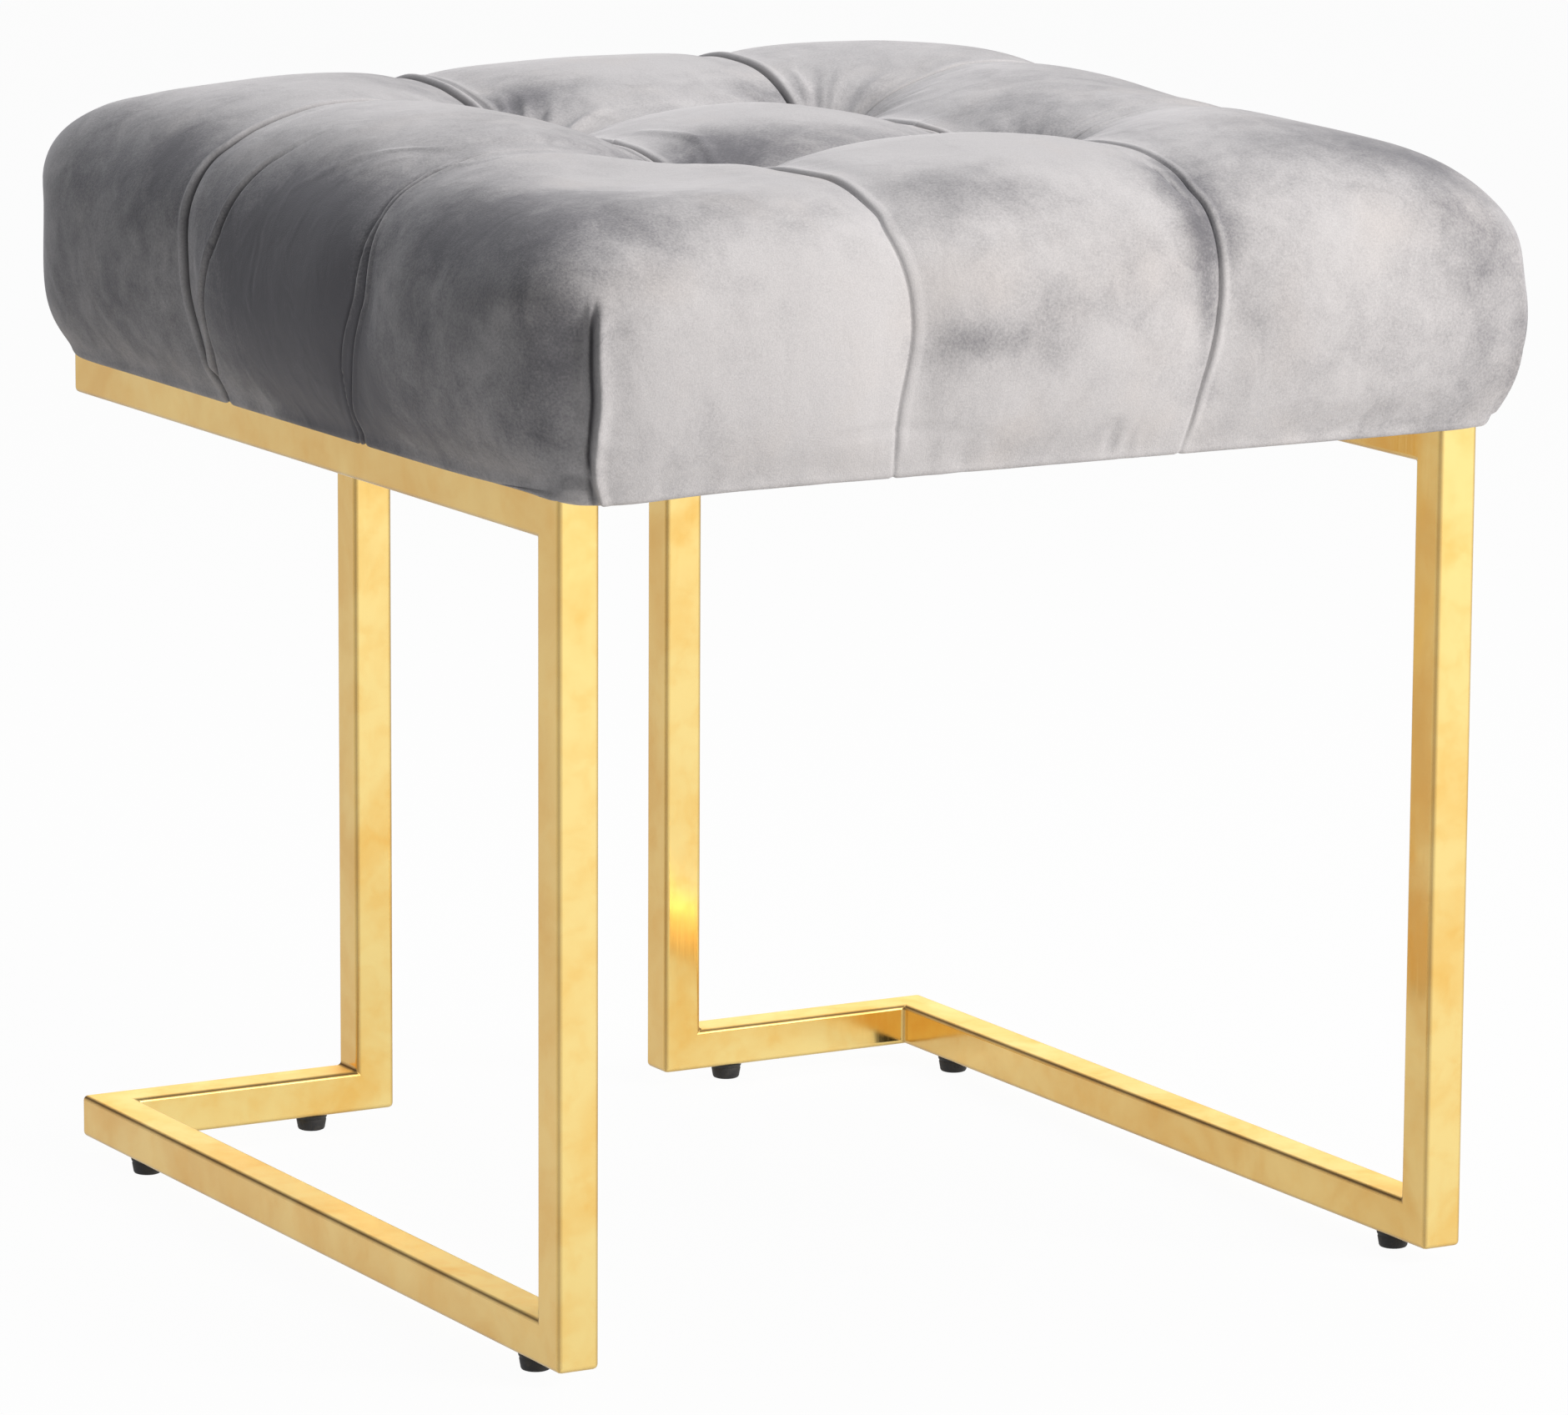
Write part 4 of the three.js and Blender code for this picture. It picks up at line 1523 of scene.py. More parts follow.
    # Patches of painted shade, and of painted light where the amount is negative, laid where the light
    # falls less or more; a few also stand for pile lying the other way.
    nap_patches: tuple[Patch, ...] = (
        Patch((-262, 0, 445), (36, 300, 70), 0.36),
        Patch((-262, 0, 402), (40, 300, 26), 0.25),
        Patch((-255, -32, 448), (36, 66, 70), 0.85),
        Patch((-262, -214, 440), (36, 26, 50), -0.16),
        Patch((-260, -165, 440), (36, 26, 80), 0.12),
        Patch((-232, 110, 494), (34, 44, 26), 0.55),
        Patch((-244, -264, 470), (14, 14, 34), 0.3),
        Patch((-250, 270, 460), (26, 34, 80), -0.55),
        Patch((-262, -170, 400), (36, 80, 26), 0.12),
        Patch((-252, -258, 430), (17, 40, 58), 0.25),
        Patch((-235, -150, 492), (45, 60, 18), 0.25),
        Patch((-238, 200, 490), (40, 50, 26), 0.12),
        Patch((-222, -212, 502), (46, 50, 26), 0.4),
        Patch((-150, -140, 508), (50, 40, 20), -0.45),
        Patch((-190, 20, 512), (50, 60, 20), -0.2),
        Patch((-60, 128, 505), (26, 20, 30), 0.4),
        Patch((-48, -42, 505), (26, 34, 30), 0.4),
        Patch((4, -62, 505), (40, 20, 30), 0.3),
        Patch((70, 116, 505), (26, 24, 30), 0.4),
        Patch((128, -18, 505), (42, 34, 26), 0.25),
        Patch((-40, -236, 505), (34, 24, 20), 0.35),
        Patch((75, -246, 498), (17, 36, 30), 0.7),
        Patch((-52, -268, 446), (30, 20, 10), 0.4),
        Patch((165, -212, 504), (70, 42, 24), 0.38),
        Patch((258, -225, 450), (30, 60, 70), 0.32),
        Patch((215, -262, 460), (30, 30, 80), 0.25),
        Patch((205, -215, 505), (50, 50, 30), 0.18),
        Patch((0, -268, 424), (40, 26, 24), -0.16),
        Patch((70, -268, 462), (7, 26, 36), 0.38),
        Patch((-150, -268, 440), (80, 26, 62), -0.5),
        Patch((140, -268, 440), (60, 26, 50), 0.07),
        Patch((20, 190, 515), (90, 60, 30), -0.35),
        Patch((10, -165, 518), (70, 50, 30), -0.6),
        Patch((10, 20, 515), (60, 50, 30), -0.65),
    )

    @property
    def limit_x(self) -> float:
        """Half the width of the grid's flat top."""
        return self.half_width * self.shoulder_share

    @property
    def limit_y(self) -> float:
        """Half the depth of the grid's flat top."""
        return HALF * (self.front_reach + self.rear_reach) * self.shoulder_share

    def crease(self, side: Side) -> float:
        """Returns where the corner pleats of one side lie across the grid."""
        return side.value * (self.crease_left if side is Side.LEFT else self.crease_right) * self.limit_x

    def lines(
        self, limit: float, fold: float, creases: Sequence[float] = (), extra: Sequence[float] = ()
    ) -> np.ndarray:
        """Returns the places of the grid lines across the top, dense beside folds.

        Args:
            limit: Half the size of the grid.
            fold: Distance of the folds from the middle.
            creases: Places of the corner pleats.
            extra: More distances from each fold, towards the middle, that need lines.

        Returns:
            The places in order.
        """
        marks = {-limit, limit, 0.0, *creases}
        for sign in (-1, 1):
            marks.update(sign * fold + offset for offset in (0, *self.cluster))
            marks.update(sign * fold - offset for offset in self.cluster)
            marks.update(sign * (fold - offset) for offset in extra)
            marks.update(crease + sign * offset for crease in creases for offset in self.crease_cluster)
        ordered = sorted(mark for mark in marks if abs(mark) <= limit + TINY)
        kept = ordered[:1]
        for mark in ordered[1:]:
            if mark - kept[-1] > self.line_gap:
                kept.append(mark)
        kept[-1] = limit
        full = []
        for low, high in zip(kept, kept[1:]):
            parts = max(1, math.ceil((high - low) / self.open_spacing - self.spacing_slack))
            full.extend(low + (high - low) * part / parts for part in range(parts))
        return np.array([*full, limit])

    def plan(self, u: np.ndarray, v: np.ndarray, exponent: float) -> np.ndarray:
        """Returns the factor that rounds the corners of a square outline.

        Args:
            u: Share of the half width.
            v: Share of the half depth.
            exponent: Exponent of the rounded outline.

        Returns:
            The factor.
        """
        size = np.maximum(np.maximum(np.abs(u), np.abs(v)), TINY)
        norm = ((np.abs(u) / size) ** exponent + (np.abs(v) / size) ** exponent) ** (1 / exponent)
        return 1 / (1 + (norm - 1) * size ** self.plan_fade)

    def reach_y(self, v: np.ndarray) -> np.ndarray:
        """Returns the cover's half depth towards the front, where v is negative, or the rear."""
        return np.where(v < 0, self.front_reach, self.rear_reach)

    def crown(self, x: np.ndarray, y: np.ndarray) -> np.ndarray:
        """Returns the crown's height.

        Args:
            x: Places across the seat.
            y: Places along the seat.

        Returns:
            The height at each place.
        """
        across = np.abs(x / self.half_width) ** self.crown_exponent
        along = np.abs(y / self.reach_y(y)) ** self.crown_exponent
        return self.crown_height * (1 - across) * (1 - along)

    def wander(self, column: np.ndarray, row: np.ndarray, down: float) -> tuple[np.ndarray, np.ndarray]:
        """Returns where points of the grid lie once the folds wander.

        Args:
            column: Places across, as if the folds were straight.
            row: Places along, as if the folds were straight.
            down: Distance down the side beyond the shoulder.

        Returns:
            Shares of the flat top's half width and half depth.
        """
        reach_x, reach_y = np.abs(column) + down, np.abs(row) + down
        left = column < 0
        shift_x = np.where(
            left, soft_curve(self.wander_front_left, reach_y), soft_curve(self.wander_front_right, reach_y)
        )
        shift_y = np.where(
            row > 0, soft_curve(self.wander_side_rear, reach_x), soft_curve(self.wander_side_front, reach_x)
        )
        near_x = bell(np.abs(column) - self.tuft_x, self.wander_width)
        near_y = bell(np.abs(row) - self.tuft_y, self.wander_width)
        shift_x = shift_x * smooth(-row / self.tuft_y) * near_x
        shift_y = shift_y * near_y * np.where(left, 1, self.wander_right_share)
        return (column + shift_x) / self.limit_x, (row + shift_y) / self.limit_y

    def top_points(self, column: np.ndarray, row: np.ndarray) -> np.ndarray:
        """Returns the points of the top, inside its shoulder.

        Args:
            column: Places across the grid.
            row: Places along the grid.

        Returns:
            The points.
        """
        u, v = self.wander(column, row, 0)
        exponent, share = self.plan_exponent, self.shoulder_share
        factor, reach = self.plan(u, v, exponent), self.reach_y(v)
        x, y = u * factor * self.half_width * share, v * factor * reach * share
        across, along = np.abs(x / self.half_width) ** exponent, np.abs(y / reach) ** exponent
        sigma = np.minimum((across + along) ** (1 / exponent), share)
        rolled = self.roll_height * (1 - sigma ** self.roll_exponent) ** (1 / self.roll_power)
        return np.stack([x, y, self.bulge_height + rolled + self.crown(x, y)], -1)

    def edge_points(
        self, part: EdgePart, at: float, column: np.ndarray, row: np.ndarray, down: float
    ) -> np.ndarray:
        """Returns one ring of points over the cover's edge.

        Args:
            part: The part of the edge.
            at: Share of that part.
            column: Places across the grid.
            row: Places along the grid.
            down: Distance down the side.

        Returns:
            The points.
        """
        u, v = self.wander(column, row, down)
        reach, inset = self.reach_y(v), np.where(v < 0, self.front_inset, self.rear_inset)
        exponent = self.bottom_exponent
        if part is EdgePart.ROLL:
            start = math.acos(self.shoulder_share ** (self.roll_exponent * HALF))
            angle = start * (1 - at)
            sigma = math.cos(angle) ** (2 / self.roll_exponent)
            half_x, half_y = self.half_width * sigma, reach * sigma
            height = self.bulge_height + self.roll_height * math.sin(angle) ** (2 / self.roll_power)
            exponent = self.plan_exponent
        elif part is EdgePart.SKIRT:
            half_x, half_y = self.half_width - self.side_inset * at ** 2, reach - inset * at ** 2
            height = self.bulge_height + (self.skirt_bottom - self.bulge_height) * at
            exponent = self.plan_exponent + (self.bottom_exponent - self.plan_exponent) * at
        else:
            swing = math.pi * (at if part is EdgePart.LIP else 1.0)
            inward = self.lip_radius * (1 - math.cos(swing))
            height = self.hem_height
            if part is EdgePart.LIP:
                row_start, row_stop = self.droop_row
                column_start, column_stop = self.droop_column
                front = smooth((-v - row_start) / (row_stop - row_start))
                front = front * smooth((column_start - np.abs(u)) / (column_start - column_stop))
                droop = self.side_droop + (self.front_droop - self.side_droop) * front
                height = self.skirt_bottom - (droop + self.lip_drop) * math.sin(swing)
                height = height + (self.hem_height - self.skirt_bottom) * at
            else:
                inward += at * (self.half_width - self.side_inset - 2 * self.lip_radius - self.hem_inner)
            half_x, half_y = self.half_width - self.side_inset - inward, reach - inset - inward
        widest = np.maximum(np.abs(u), np.abs(v))
        u, v = u / widest, v / widest
        factor = self.plan(u, v, exponent)
        x, y = u * factor * half_x, v * factor * half_y
        if part is EdgePart.ROLL:
            height = height + self.crown(x, y)
        return np.stack(np.broadcast_arrays(x, y, height), -1)

    def build_form(self) -> bpy.types.Object:
        """Builds the smooth outer form, with its grid along the folds.

        Returns:
            The form, with the grid's own coordinates kept on its points.
        """
        columns = self.lines(self.limit_x, self.tuft_x, [self.crease(side) for side in Side])
        rows = self.lines(self.limit_y, self.tuft_y, extra=np.arange(*self.side_cluster))
        column, row = (values.ravel() for values in np.meshgrid(columns, rows))
        top = self.top_points(column, row)
        builder = MeshBuilder()
        previous = border_of(builder.grid(top.reshape(len(rows), len(columns), 3)))
        marks = [np.stack([column, row, np.zeros_like(column)], -1)]
        last, column, row, down = top[previous], column[previous], row[previous], 0.0
        for part, count in self.edge_rows:
            for step in range(1, count + 1):
                now = self.edge_points(part, step / count, column, row, down)
                down += float(np.median(np.linalg.norm(now - last, axis=1)))
                marks.append(np.stack([column, row, np.full_like(column, down)], -1))
                ring = builder.ring(now)
                builder.join(ring, previous)
                previous, last = ring, now
        form = builder.piece("velvet_seat")
        for name, values in zip(GRID_NAMES, np.concatenate(marks).T):
            keep_values(form, name, values)
        return form

    def by_axis(self, skin: CoverSkin, axis: FoldAxis) -> tuple[np.ndarray, np.ndarray, float, float]:
        """Returns places as the folds of one direction see them.

        Args:
            skin: The cover's skin.
            axis: The direction.

        Returns:
            Places across and along the folds, and the tufts' distances from the middle so.
        """
        places, tufts = (skin.column, skin.row), (self.tuft_x, self.tuft_y)
        index = axis.value
        return places[index], places[1 - index], tufts[index], tufts[1 - index]

    def fold_depth(self, skin: CoverSkin, axis: FoldAxis) -> np.ndarray:
        """Returns how deep the valleys of the folds in one direction are.

        Args:
            skin: The cover's skin.
            axis: The direction.

        Returns:
            The depth at each point.
        """
        across, along, line, tuft = self.by_axis(skin, axis)
        limit = (self.front_reach, self.half_width)[axis.value] * self.shoulder_share
        beyond = np.abs(along) + skin.down - tuft
        depth = knot_curve(self.inner_depth, beyond)
        for fold in self.folds:
            if fold.axis is axis:
                chosen = (beyond > 0) & (across * fold.line > 0) & (along * fold.end > 0)
                depth = np.where(chosen, knot_curve(fold.depth, beyond), depth)
        start, stop = self.fold_side
        side = smooth((beyond + tuft - limit - start) / (stop - start))
        changes = (self.fold_inner_reach, self.fold_outer_reach, self.fold_power)
        inner, outer, power = (top + (low - top) * side for top, low in changes)
        distance = np.abs(across) - line
        rounded = np.hypot(distance, self.fold_round) - self.fold_round
        return depth * np.clip(1 - rounded / np.where(distance < 0, inner, outer), 0, 1) ** power

    def sink_folds(self, skin: CoverSkin) -> None:
        """Sinks the dished middle, the valleys of the folds and the pits of the tufts.

        Args:
            skin: The cover's skin.
        """
        power, exponent, points = self.join_power, self.dish_exponent, skin.points
        joined = sum(self.fold_depth(skin, axis) ** power for axis in FoldAxis) ** (1 / power)
        across = np.abs(points[:, 0] / self.half_width) ** exponent
        along = np.abs(points[:, 1] / self.front_reach) ** exponent
        share = (across + along) ** (1 / exponent) / self.dish_share
        dish = self.dish_depth * np.clip(1 - share * share, 0, 1) ** self.dish_power
        reach = np.hypot(np.abs(skin.column) - self.tuft_x, np.abs(skin.row) - self.tuft_y)
        pit = self.pit_depth * bell(reach, self.pit_radius)
        lowest = smooth((skin.height - self.skirt_bottom) / self.fold_fade)
        depth = (joined + (pit + dish) * (skin.down <= 0)) * np.where(skin.down > 0, lowest, 1)
        moved = points - skin.normals * depth[:, None]
        for patch in self.shape_patches:
            moved += patch.at(points)
        skin.move(moved)

    def held(self, skin: CoverSkin) -> np.ndarray:
        """Returns how firmly each point is held, so that only the panels puff out.

        Args:
            skin: The cover's skin.

        Returns:
            Shares, 1 at the folds, the tufts, the front's corner pleats and the hem.
        """
        near_x = np.abs(np.abs(skin.column) - self.tuft_x)
        near_y = np.abs(np.abs(skin.row) - self.tuft_y)
        front = self.front_reach * self.shoulder_share
        on_end = (np.abs(np.abs(skin.row) - front) < self.pin_margin) & (skin.down > 0)
        crease = np.where(skin.column < 0, self.crease(Side.LEFT), self.crease(Side.RIGHT))
        near_crease = np.where(on_end, np.abs(skin.column - crease), np.inf)
        near, far = self.pin_reach
        nearest = np.minimum(np.minimum(near_x, near_y), near_crease)
        low, high = self.pin_rise
        hem = 1 - smooth((skin.height - self.skirt_bottom - low) / (high - low))
        return np.maximum(1 - smooth((nearest - near) / (far - near)), hem * (skin.down > 0))

    def puff(self, skin: CoverSkin) -> None:
        """Puffs out the panels with a cloth simulation, held at the folds.

        Args:
            skin: The cover's skin.
        """
        form = skin.form
        group = form.vertex_groups.new(name="held")
        for index, weight in enumerate(self.held(skin)):
            if weight > self.pin_least:
                group.add([index], float(weight), "REPLACE")
        modifier = form.modifiers.new("puff", "CLOTH")
        settings = {
            "quality": self.puff_quality,
            "use_pressure": True,
            "uniform_pressure_force": self.puff_pressure,
            "vertex_group_mass": group.name,
            "pin_stiffness": 1,
            "tension_stiffness": self.cloth_stiffness,
            "compression_stiffness": self.cloth_stiffness,
            "shear_stiffness": self.shear_stiffness,
            "bending_stiffness": self.bending_stiffness,
        }
        for name, value in settings.items():
            setattr(modifier.settings, name, value)
        modifier.settings.effector_weights.gravity = 0
        modifier.collision_settings.use_collision = False
        modifier.point_cache.frame_start = 1
        modifier.point_cache.frame_end = self.puff_frames
        scene = bpy.context.scene
        for number in range(1, self.puff_frames + 1):
            scene.frame_set(number)
        puffed = form.evaluated_get(bpy.context.evaluated_depsgraph_get())
        step = read_values(puffed.to_mesh().vertices, "co", 3) / MM - skin.points
        puffed.to_mesh_clear()
        form.modifiers.clear()
        form.vertex_groups.clear()
        scene.frame_set(1)
        length = np.linalg.norm(step, axis=1)
        log.info("puffed out by up to %.1f mm before the cap", float(length.max()))
        capped = self.puff_cap * np.tanh(length / self.puff_cap)
        skin.move(skin.points + step * (capped / np.maximum(length, TINY))[:, None])

    def draw_pleat(self, skin: CoverSkin, relief: Relief, fold: Fold, pleat: Pleat) -> None:
        """Adds a pleat beside a fold.

        Args:
            skin: The cover's skin.
            relief: What is added to it.
            fold: The fold.
            pleat: The pleat.
        """
        across, along, line, tuft = self.by_axis(skin, fold.axis)
        beyond = fold.end * along + skin.down - tuft
        slope = knot_curve(pleat.offset, beyond + 1) - knot_curve(pleat.offset, beyond - 1)
        place = across - fold.line * line - knot_curve(pleat.offset, beyond)
        place = place / np.hypot(1, HALF * slope) * pleat.lap_side
        depth = knot_curve(pleat.depth, beyond) * smooth((beyond - pleat.start) / self.pleat_fade)
        depth = depth * (fold.end * along > 0)
        strength = depth / max(value for _, value in pleat.depth)
        groove = bell(place, pleat.width)
        edge = bell(place - HALF * pleat.lip_radius, pleat.lip_radius) * (place > 0)
        faded = smooth((skin.height - self.skirt_bottom) / self.lip_fade)
        relief.rise += strength * pleat.lip(place) * faded - depth * groove
        # Painted highlight along the lip, where the fold's top catches the light.
        relief.worn += strength * self.nap_lip * edge
        # Painted shade in the pleat's groove, growing with its depth.
        relief.painted_crease_shade = np.maximum(relief.painted_crease_shade, (depth / self.black_depth) ** 2 * groove)
        relief.slide[:, fold.axis.value] -= pleat.overhang * pleat.lap_side * strength * edge

    def draw_corner(self, skin: CoverSkin, relief: Relief, pleat: CornerPleat) -> None:
        """Adds the slit and the tuck at a corner.

        Args:
            skin: The cover's skin.
            relief: What is added to it.
            pleat: The corner's pleat.
        """
        across, along = pleat.side.value * skin.column, pleat.end.value * skin.row
        at_corner = (across > 0) & (along > 0) & (skin.down > 0)
        strength = smooth((pleat.start_height - skin.height) / (pleat.start_height - pleat.full_height))
        shown = strength * (smooth(along - self.limit_y + self.face_margin) * at_corner)
        lean = smooth((pleat.lean_height - skin.height) / (pleat.lean_height - self.skirt_bottom))
        place = across - abs(self.crease(pleat.side)) - pleat.lean * lean
        groove = bell(place, pleat.width)
        lip = bell(place + pleat.lip_place * pleat.width, pleat.lip_width * pleat.width)
        relief.rise += shown * (pleat.lip_height * lip - pleat.depth * groove)
        # Painted shade in the corner slit.
        relief.painted_crease_shade = np.maximum(relief.painted_crease_shade, self.corner_shade * shown * pleat.depth * groove)
        relief.slide[:, 0] += pleat.side.value * shown * pleat.lip_slide * lip
        past = place + np.clip(self.limit_y - along, 0, None)
        low = smooth((skin.height - self.skirt_bottom) / pleat.tuck_fade)
        tuck = pleat.tuck * (pleat.tuck_low_share + (1 - pleat.tuck_low_share) * low)
        tucked = smooth(past / pleat.tuck_start) * bell(past, pleat.tuck_reach) * (place > 0)
        relief.rise -= strength * at_corner * tuck * tucked

    def tuft_wrinkles(self, skin: CoverSkin) -> np.ndarray:
        """Returns the height of the wrinkles that spread from the tufts.

        Args:
            skin: The cover's skin.

        Returns:
            The height at each point.
        """
        chance = np.random.default_rng(self.seed)
        rise = np.zeros(len(skin.points))
        for side in Side:
            for end in End:
                dx, dy = skin.column - side.value * self.tuft_x, skin.row - end.value * self.tuft_y
                turn = np.arctan2(dy, dx)
                angles = (count * turn + chance.uniform(0, math.tau) for count in self.wrinkle_counts)
                crests = ((HALF + HALF * np.cos(angle)) ** self.wrinkle_sharpness for angle in angles)
                waves = sum(crests) / len(self.wrinkle_counts)
                reach = (np.hypot(dx, dy) / self.wrinkle_reach) ** 2
                rise += self.wrinkle_height * waves * reach * np.exp(1 - reach) * (skin.down <= 0)
        return rise

    def puckers(self, skin: CoverSkin) -> np.ndarray:
        """Returns the height of the small puckers above the hem.

        Args:
            skin: The cover's skin.

        Returns:
            The height at each point.
        """
        chance = np.random.default_rng(self.seed + 1)
        rise = np.zeros(len(skin.points))
        above = skin.height - self.skirt_bottom
        begun = smooth((above + self.pucker_fade) / self.pucker_fade)
        ends = (skin.column, self.limit_x, skin.row, self.limit_y)
        sides = (skin.row, self.limit_y, skin.column, self.limit_x)
        for along, span, outward, limit in (ends, sides):
            for sign in (-1, 1):
                face = smooth(sign * outward - limit + self.face_margin) * (skin.down > 0)
                for _ in range(self.pucker_count):
                    middle = chance.uniform(*self.pucker_place) * span
                    slant = chance.uniform(-1, 1) * self.pucker_slant
                    length = self.pucker_length * chance.uniform(*self.pucker_lengths)
                    height = self.pucker_height * chance.uniform(*self.pucker_heights)
                    width = self.pucker_width * chance.uniform(*self.pucker_widths)
                    fade = smooth(1 - above / length) * begun
                    rise += height * bell(along - middle - slant * above, width) * fade * face
        return rise

    def spread(self, skin: CoverSkin) -> np.ndarray:
        """Folds the sides out flat.

        Args:
            skin: The cover's skin.

        Returns:
            The points' places in the cover's spread.
        """
        out_x = np.sign(skin.column) * skin.down * (np.abs(skin.column) > self.limit_x - 1)
        out_y = np.sign(skin.row) * skin.down * (np.abs(skin.row) > self.limit_y - 1)
        return np.stack([skin.column + out_x, skin.row + out_y], -1)

    def brush_nap(self, skin: CoverSkin, worn: np.ndarray) -> None:
        """Keeps on the form the velvet's painted shade and painted highlight, for its colour.

        Args:
            skin: The cover's skin.
            worn: How much lighter the velvet is painted along the pleats' lips, as a painted highlight.
        """
        shade = self.nap_ground + worn
        # Painted shade and painted light in patches.
        for patch in self.nap_patches:
            shade += patch.at(skin.points)
        # Painted shade in the tufts' pits.
        for side, end, dark in self.nap_tufts:
            across, along = skin.column - side.value * self.tuft_x, skin.row - end.value * self.tuft_y
            shade += dark * bell(np.hypot(across, along), self.nap_tuft_reach) * (skin.down <= 0)
        # The kept attribute carries painted shade and painted highlight on top of the ground tone.
        keep_values(skin.form, "nap", np.clip(shade, 0, 1))

    def wrinkle(self, skin: CoverSkin) -> None:
        """Draws the pleats, the wrinkles round the tufts and the puckers above the hem.

        Args:
            skin: The cover's skin, fine enough to hold them.
        """
        relief = Relief(len(skin.points))
        for fold in self.folds:
            for pleat in fold.pleats:
                self.draw_pleat(skin, relief, fold, pleat)
        for corner in self.corner_pleats:
            self.draw_corner(skin, relief, corner)
        spread = self.spread(skin)
        for wrinkle in self.wrinkles:
            relief.rise += wrinkle.rise(spread)
        relief.rise += self.tuft_wrinkles(skin)
        relief.rise += self.puckers(skin)
        x, y = skin.points[:, 0], skin.points[:, 1]
        over_x = np.abs(x) - self.half_width + self.side_inset + 2 * self.lip_radius
        over_y = np.abs(y) - self.reach_y(y) + self.rear_inset + 2 * self.lip_radius
        outside = smooth(np.maximum(over_x, over_y) / self.lip_radius)
        free = np.where(skin.height < self.skirt_bottom + self.hem_margin, outside, 1)[:, None]
        # Keeps the painted shade and painted highlight on the form.
        self.brush_nap(skin, relief.worn)
        # The crease attribute holds the painted shade of the grooves and corner slits.
        keep_values(skin.form, "crease", np.clip(relief.painted_crease_shade, 0, 1))
        skin.move(skin.points + (skin.normals * relief.rise[:, None] + relief.slide) * free)

    def close_inside(self, form: bpy.types.Object) -> None:
        """Closes the cover with an inner skin round the board and the foam.

        Args:
            form: The finished outer skin.
        """
        board, (foam_low, foam, _) = box_mm("seat_board")[1], box_mm("foam_block")
        gap, hem = self.inner_gap, self.hem_height + self.hem_thickness
        rim, block = (board.x + gap, board.y + gap), (foam.x + gap, foam.y + gap)
        stations = (
            (None, hem),
            (rim, hem),
            (rim, board.z),
            (block, foam_low.z + self.foam_foot),
            (block, foam.z - self.foam_inset),
            ((block[0] - self.foam_inset, block[1] - self.foam_inset), foam.z + gap),
            ((foam.x * HALF, foam.y * HALF), foam.z + gap),
        )
        mesh = bmesh.new()
        mesh.from_mesh(form.data)
        loop = [edge for edge in mesh.edges if edge.is_boundary]
        for corner, height in stations:
            grown = bmesh.ops.extrude_edge_only(mesh, edges=loop)["geom"]
            loop = [item for item in grown if isinstance(item, bmesh.types.BMEdge)]
            for point in {point for edge in loop for point in edge.verts}:
                if corner is not None:
                    u, v = point.co.x / corner[0], point.co.y / corner[1]
                    size = max(abs(u), abs(v))
                    factor = float(self.plan(u / size, v / size, self.bottom_exponent)) / size
                    point.co.x, point.co.y = u * factor * corner[0] * MM, v * factor * corner[1] * MM
                point.co.z = height * MM
        bmesh.ops.holes_fill(mesh, edges=loop, sides=0)
        bmesh.ops.recalc_face_normals(mesh, faces=mesh.faces)
        mesh.to_mesh(form.data)
        mesh.free()
        form.data.polygons.foreach_set("use_smooth", [True] * len(form.data.polygons))

    def build(self) -> None:
        """Builds and dresses the cover."""
        form = self.build_form()
        self.sink_folds(CoverSkin(form))
        self.puff(CoverSkin(form))
        add_modifier(form, "SUBSURF", {"levels": 1, "render_levels": 1})
        self.wrinkle(CoverSkin(form))
        self.close_inside(form)
        settle(form, VELVET, ["velvet_cover"])


# The studio


@dataclass
class PhotoCamera:
    """The camera, at the photograph's angle and distance."""

    azimuth: float = -29.49
    elevation: float = 10.74
    roll: float = -0.30
    distance: float = 3706.4
    offset_right: float = -13.02
    offset_up: float = -13.22
    target: Point = (0.0, 5.0, 223.5)
    lens: float = 184.2
    sensor: float = 36.0
    far_end: float = 100.0

    def build(self) -> None:
        """Builds the camera."""
        angles = (self.azimuth, self.elevation, self.roll)
        azimuth, elevation, roll = (math.radians(angle) for angle in angles)
        back = Vector((
            math.sin(azimuth) * math.cos(elevation),
            -math.cos(azimuth) * math.cos(elevation),
            math.sin(elevation),
        ))
        level = Vector((math.cos(azimuth), math.sin(azimuth), 0))
        upright = back.cross(level)
        right = level * math.cos(roll) - upright * math.sin(roll)
        up = level * math.sin(roll) + upright * math.cos(roll)
        place = Vector(self.target) - right * self.offset_right - up * self.offset_up
        place += back * self.distance
        camera = bpy.data.cameras.new("photo_camera")
        camera.lens = self.lens
        camera.sensor_width = self.sensor
        camera.clip_end = self.far_end
        holder = bpy.data.objects.new("photo_camera", camera)
        turn = Matrix((right, up, back)).transposed().to_4x4()
        holder.matrix_world = Matrix.Translation(place * MM) @ turn
        bpy.context.scene.collection.objects.link(holder)
        bpy.context.scene.camera = holder


@dataclass(frozen=True)
class SoftBox:
    """A large soft lamp. Its place is in metres."""

    name: str
    place: Point
    width: float
    height: float
    watts: float
    colour: Colour
    aim: Point = (0.0, 0.0, 0.35)

    def build(self) -> None:
        """Builds the lamp."""
        lamp = bpy.data.lights.new(self.name, "AREA")
        lamp.shape = "RECTANGLE"
        lamp.size, lamp.size_y = self.width, self.height
        lamp.energy = self.watts
        lamp.color = self.colour
        holder = bpy.data.objects.new(self.name, lamp)
        holder.location = self.place
        toward = Vector(self.aim) - Vector(self.place)
        holder.rotation_euler = toward.to_track_quat("-Z", "Y").to_euler()
        bpy.context.scene.collection.objects.link(holder)


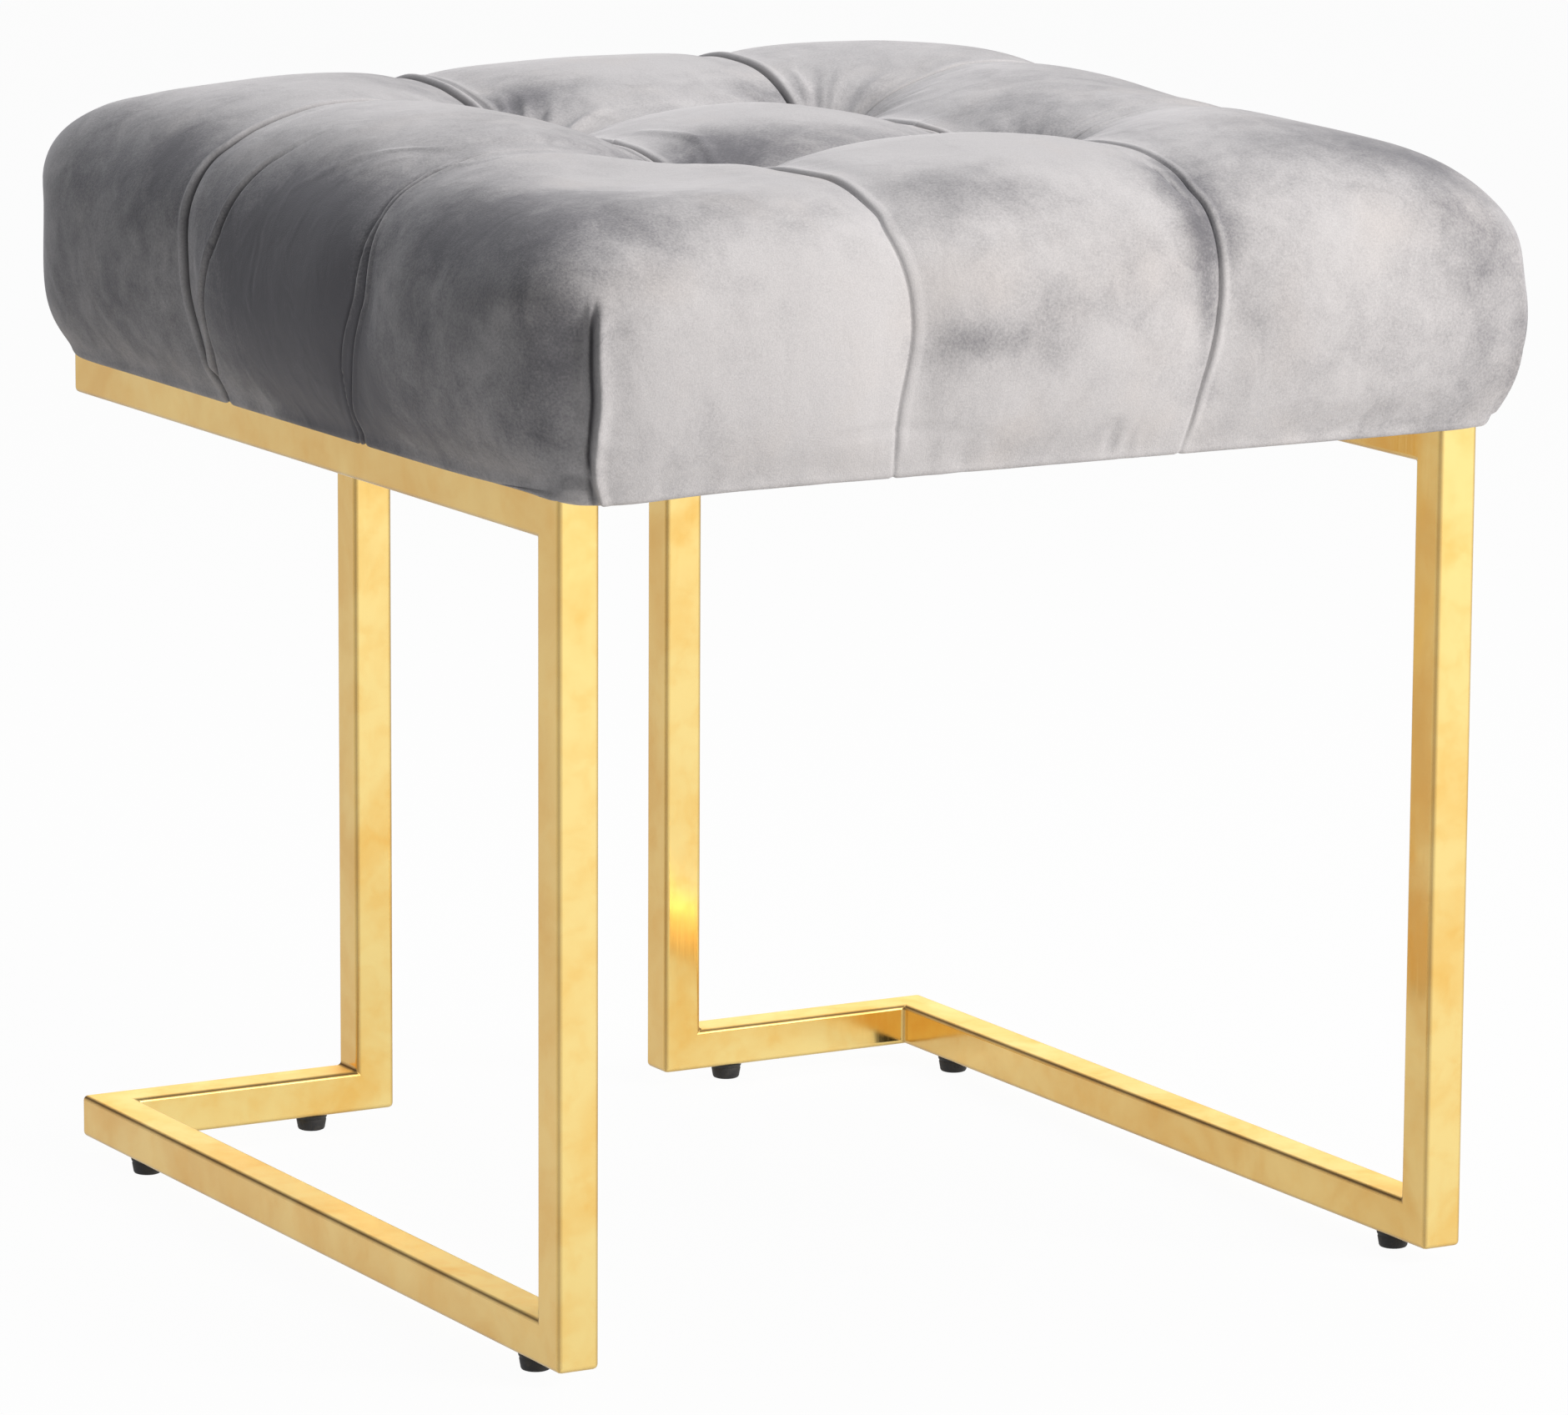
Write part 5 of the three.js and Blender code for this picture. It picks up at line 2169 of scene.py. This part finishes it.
@dataclass
class Studio:
    """Pale floor, soft lamps and a plain world."""

    floor_half: float = 30.0
    floor_colour: Colour = (0.8, 0.8, 0.8)
    floor_glow: float = 0.965
    floor_gloss_glow: float = 0.74
    ambient: float = 0.15
    ambient_colour: Colour = (0.95, 0.97, 1.0)
    white: Colour = (1.0, 1.0, 1.0)
    lamps: tuple[SoftBox, ...] = (
        SoftBox("key_softbox", (1.6, -2.8, 1.9), 2.0, 1.8, 122.0, (1.0, 0.965, 0.935)),
        SoftBox("top_softbox", (0.3, 0.6, 2.6), 1.8, 1.8, 29.0, (0.97, 0.98, 1.0)),
    )

    @staticmethod
    def rays(graph: ShaderGraph) -> tuple[ShaderValue, ShaderValue]:
        """Sorts the rays that meet a surface.

        Args:
            graph: The surface's graph.

        Returns:
            Whether a ray comes from the camera, and whether from a mirror or glass.
        """
        rays = graph.node("ShaderNodeLightPath")
        mirrored = rays.value("Is Glossy Ray").highest(rays.value("Is Transmission Ray"))
        return rays.value("Is Camera Ray"), mirrored

    def build_floor(self) -> None:
        """Builds the floor, which shows near white but keeps the stool's shadow."""
        builder = MeshBuilder()
        reach = self.floor_half / MM
        builder.faces.append(tuple(builder.ring((reach * x, reach * y, 0) for x, y in QUARTERS[::-1])))
        floor = builder.piece("studio_floor", smooth_faces=False)
        material = bpy.data.materials.new("pale_floor")
        material.use_nodes = True
        graph = ShaderGraph(material.node_tree)
        seen, mirrored = self.rays(graph)
        glow = (seen * self.floor_glow).highest(mirrored * self.floor_gloss_glow)
        matte = graph.node("ShaderNodeBsdfDiffuse", None, {"Color": self.floor_colour}).socket()
        white = graph.node("ShaderNodeEmission", None, {"Color": self.white, "Strength": 1}).socket()
        graph.end("ShaderNodeOutputMaterial", "ShaderNodeMixShader", {0: glow, 1: matte, 2: white})
        floor.data.materials.append(material)

    def build_world(self) -> None:
        """Builds the world: white to the eye and in reflections, gentle as light."""
        world = bpy.data.worlds.new("studio_world")
        world.use_nodes = True
        bpy.context.scene.world = world
        graph = ShaderGraph(world.node_tree)
        seen, mirrored = self.rays(graph)
        soft, white = (
            graph.node("ShaderNodeBackground", None, {"Color": colour, "Strength": strength}).socket()
            for colour, strength in ((self.ambient_colour, self.ambient), (self.white, 1))
        )
        factor = seen.highest(mirrored)
        graph.end("ShaderNodeOutputWorld", "ShaderNodeMixShader", {0: factor, 1: soft, 2: white})

    def build(self) -> None:
        """Builds the studio."""
        self.build_floor()
        self.build_world()
        for lamp in self.lamps:
            lamp.build()
        bpy.context.scene.view_settings.view_transform = "Standard"


def main() -> None:
    """Builds the stool and the studio, part by part."""
    logging.basicConfig(level=logging.INFO, format="%(message)s", force=True)
    PhotoCamera().build()
    parts = (TubeFrame(), RubberFeet(), SeatBase(), DustCover(), FoamPad(), TuftPulls(), TuftedCover())
    for part in parts:
        part.build()
        log.info("%s is done", type(part).__name__)
    Studio().build()


if __name__ == "__main__":
    main()
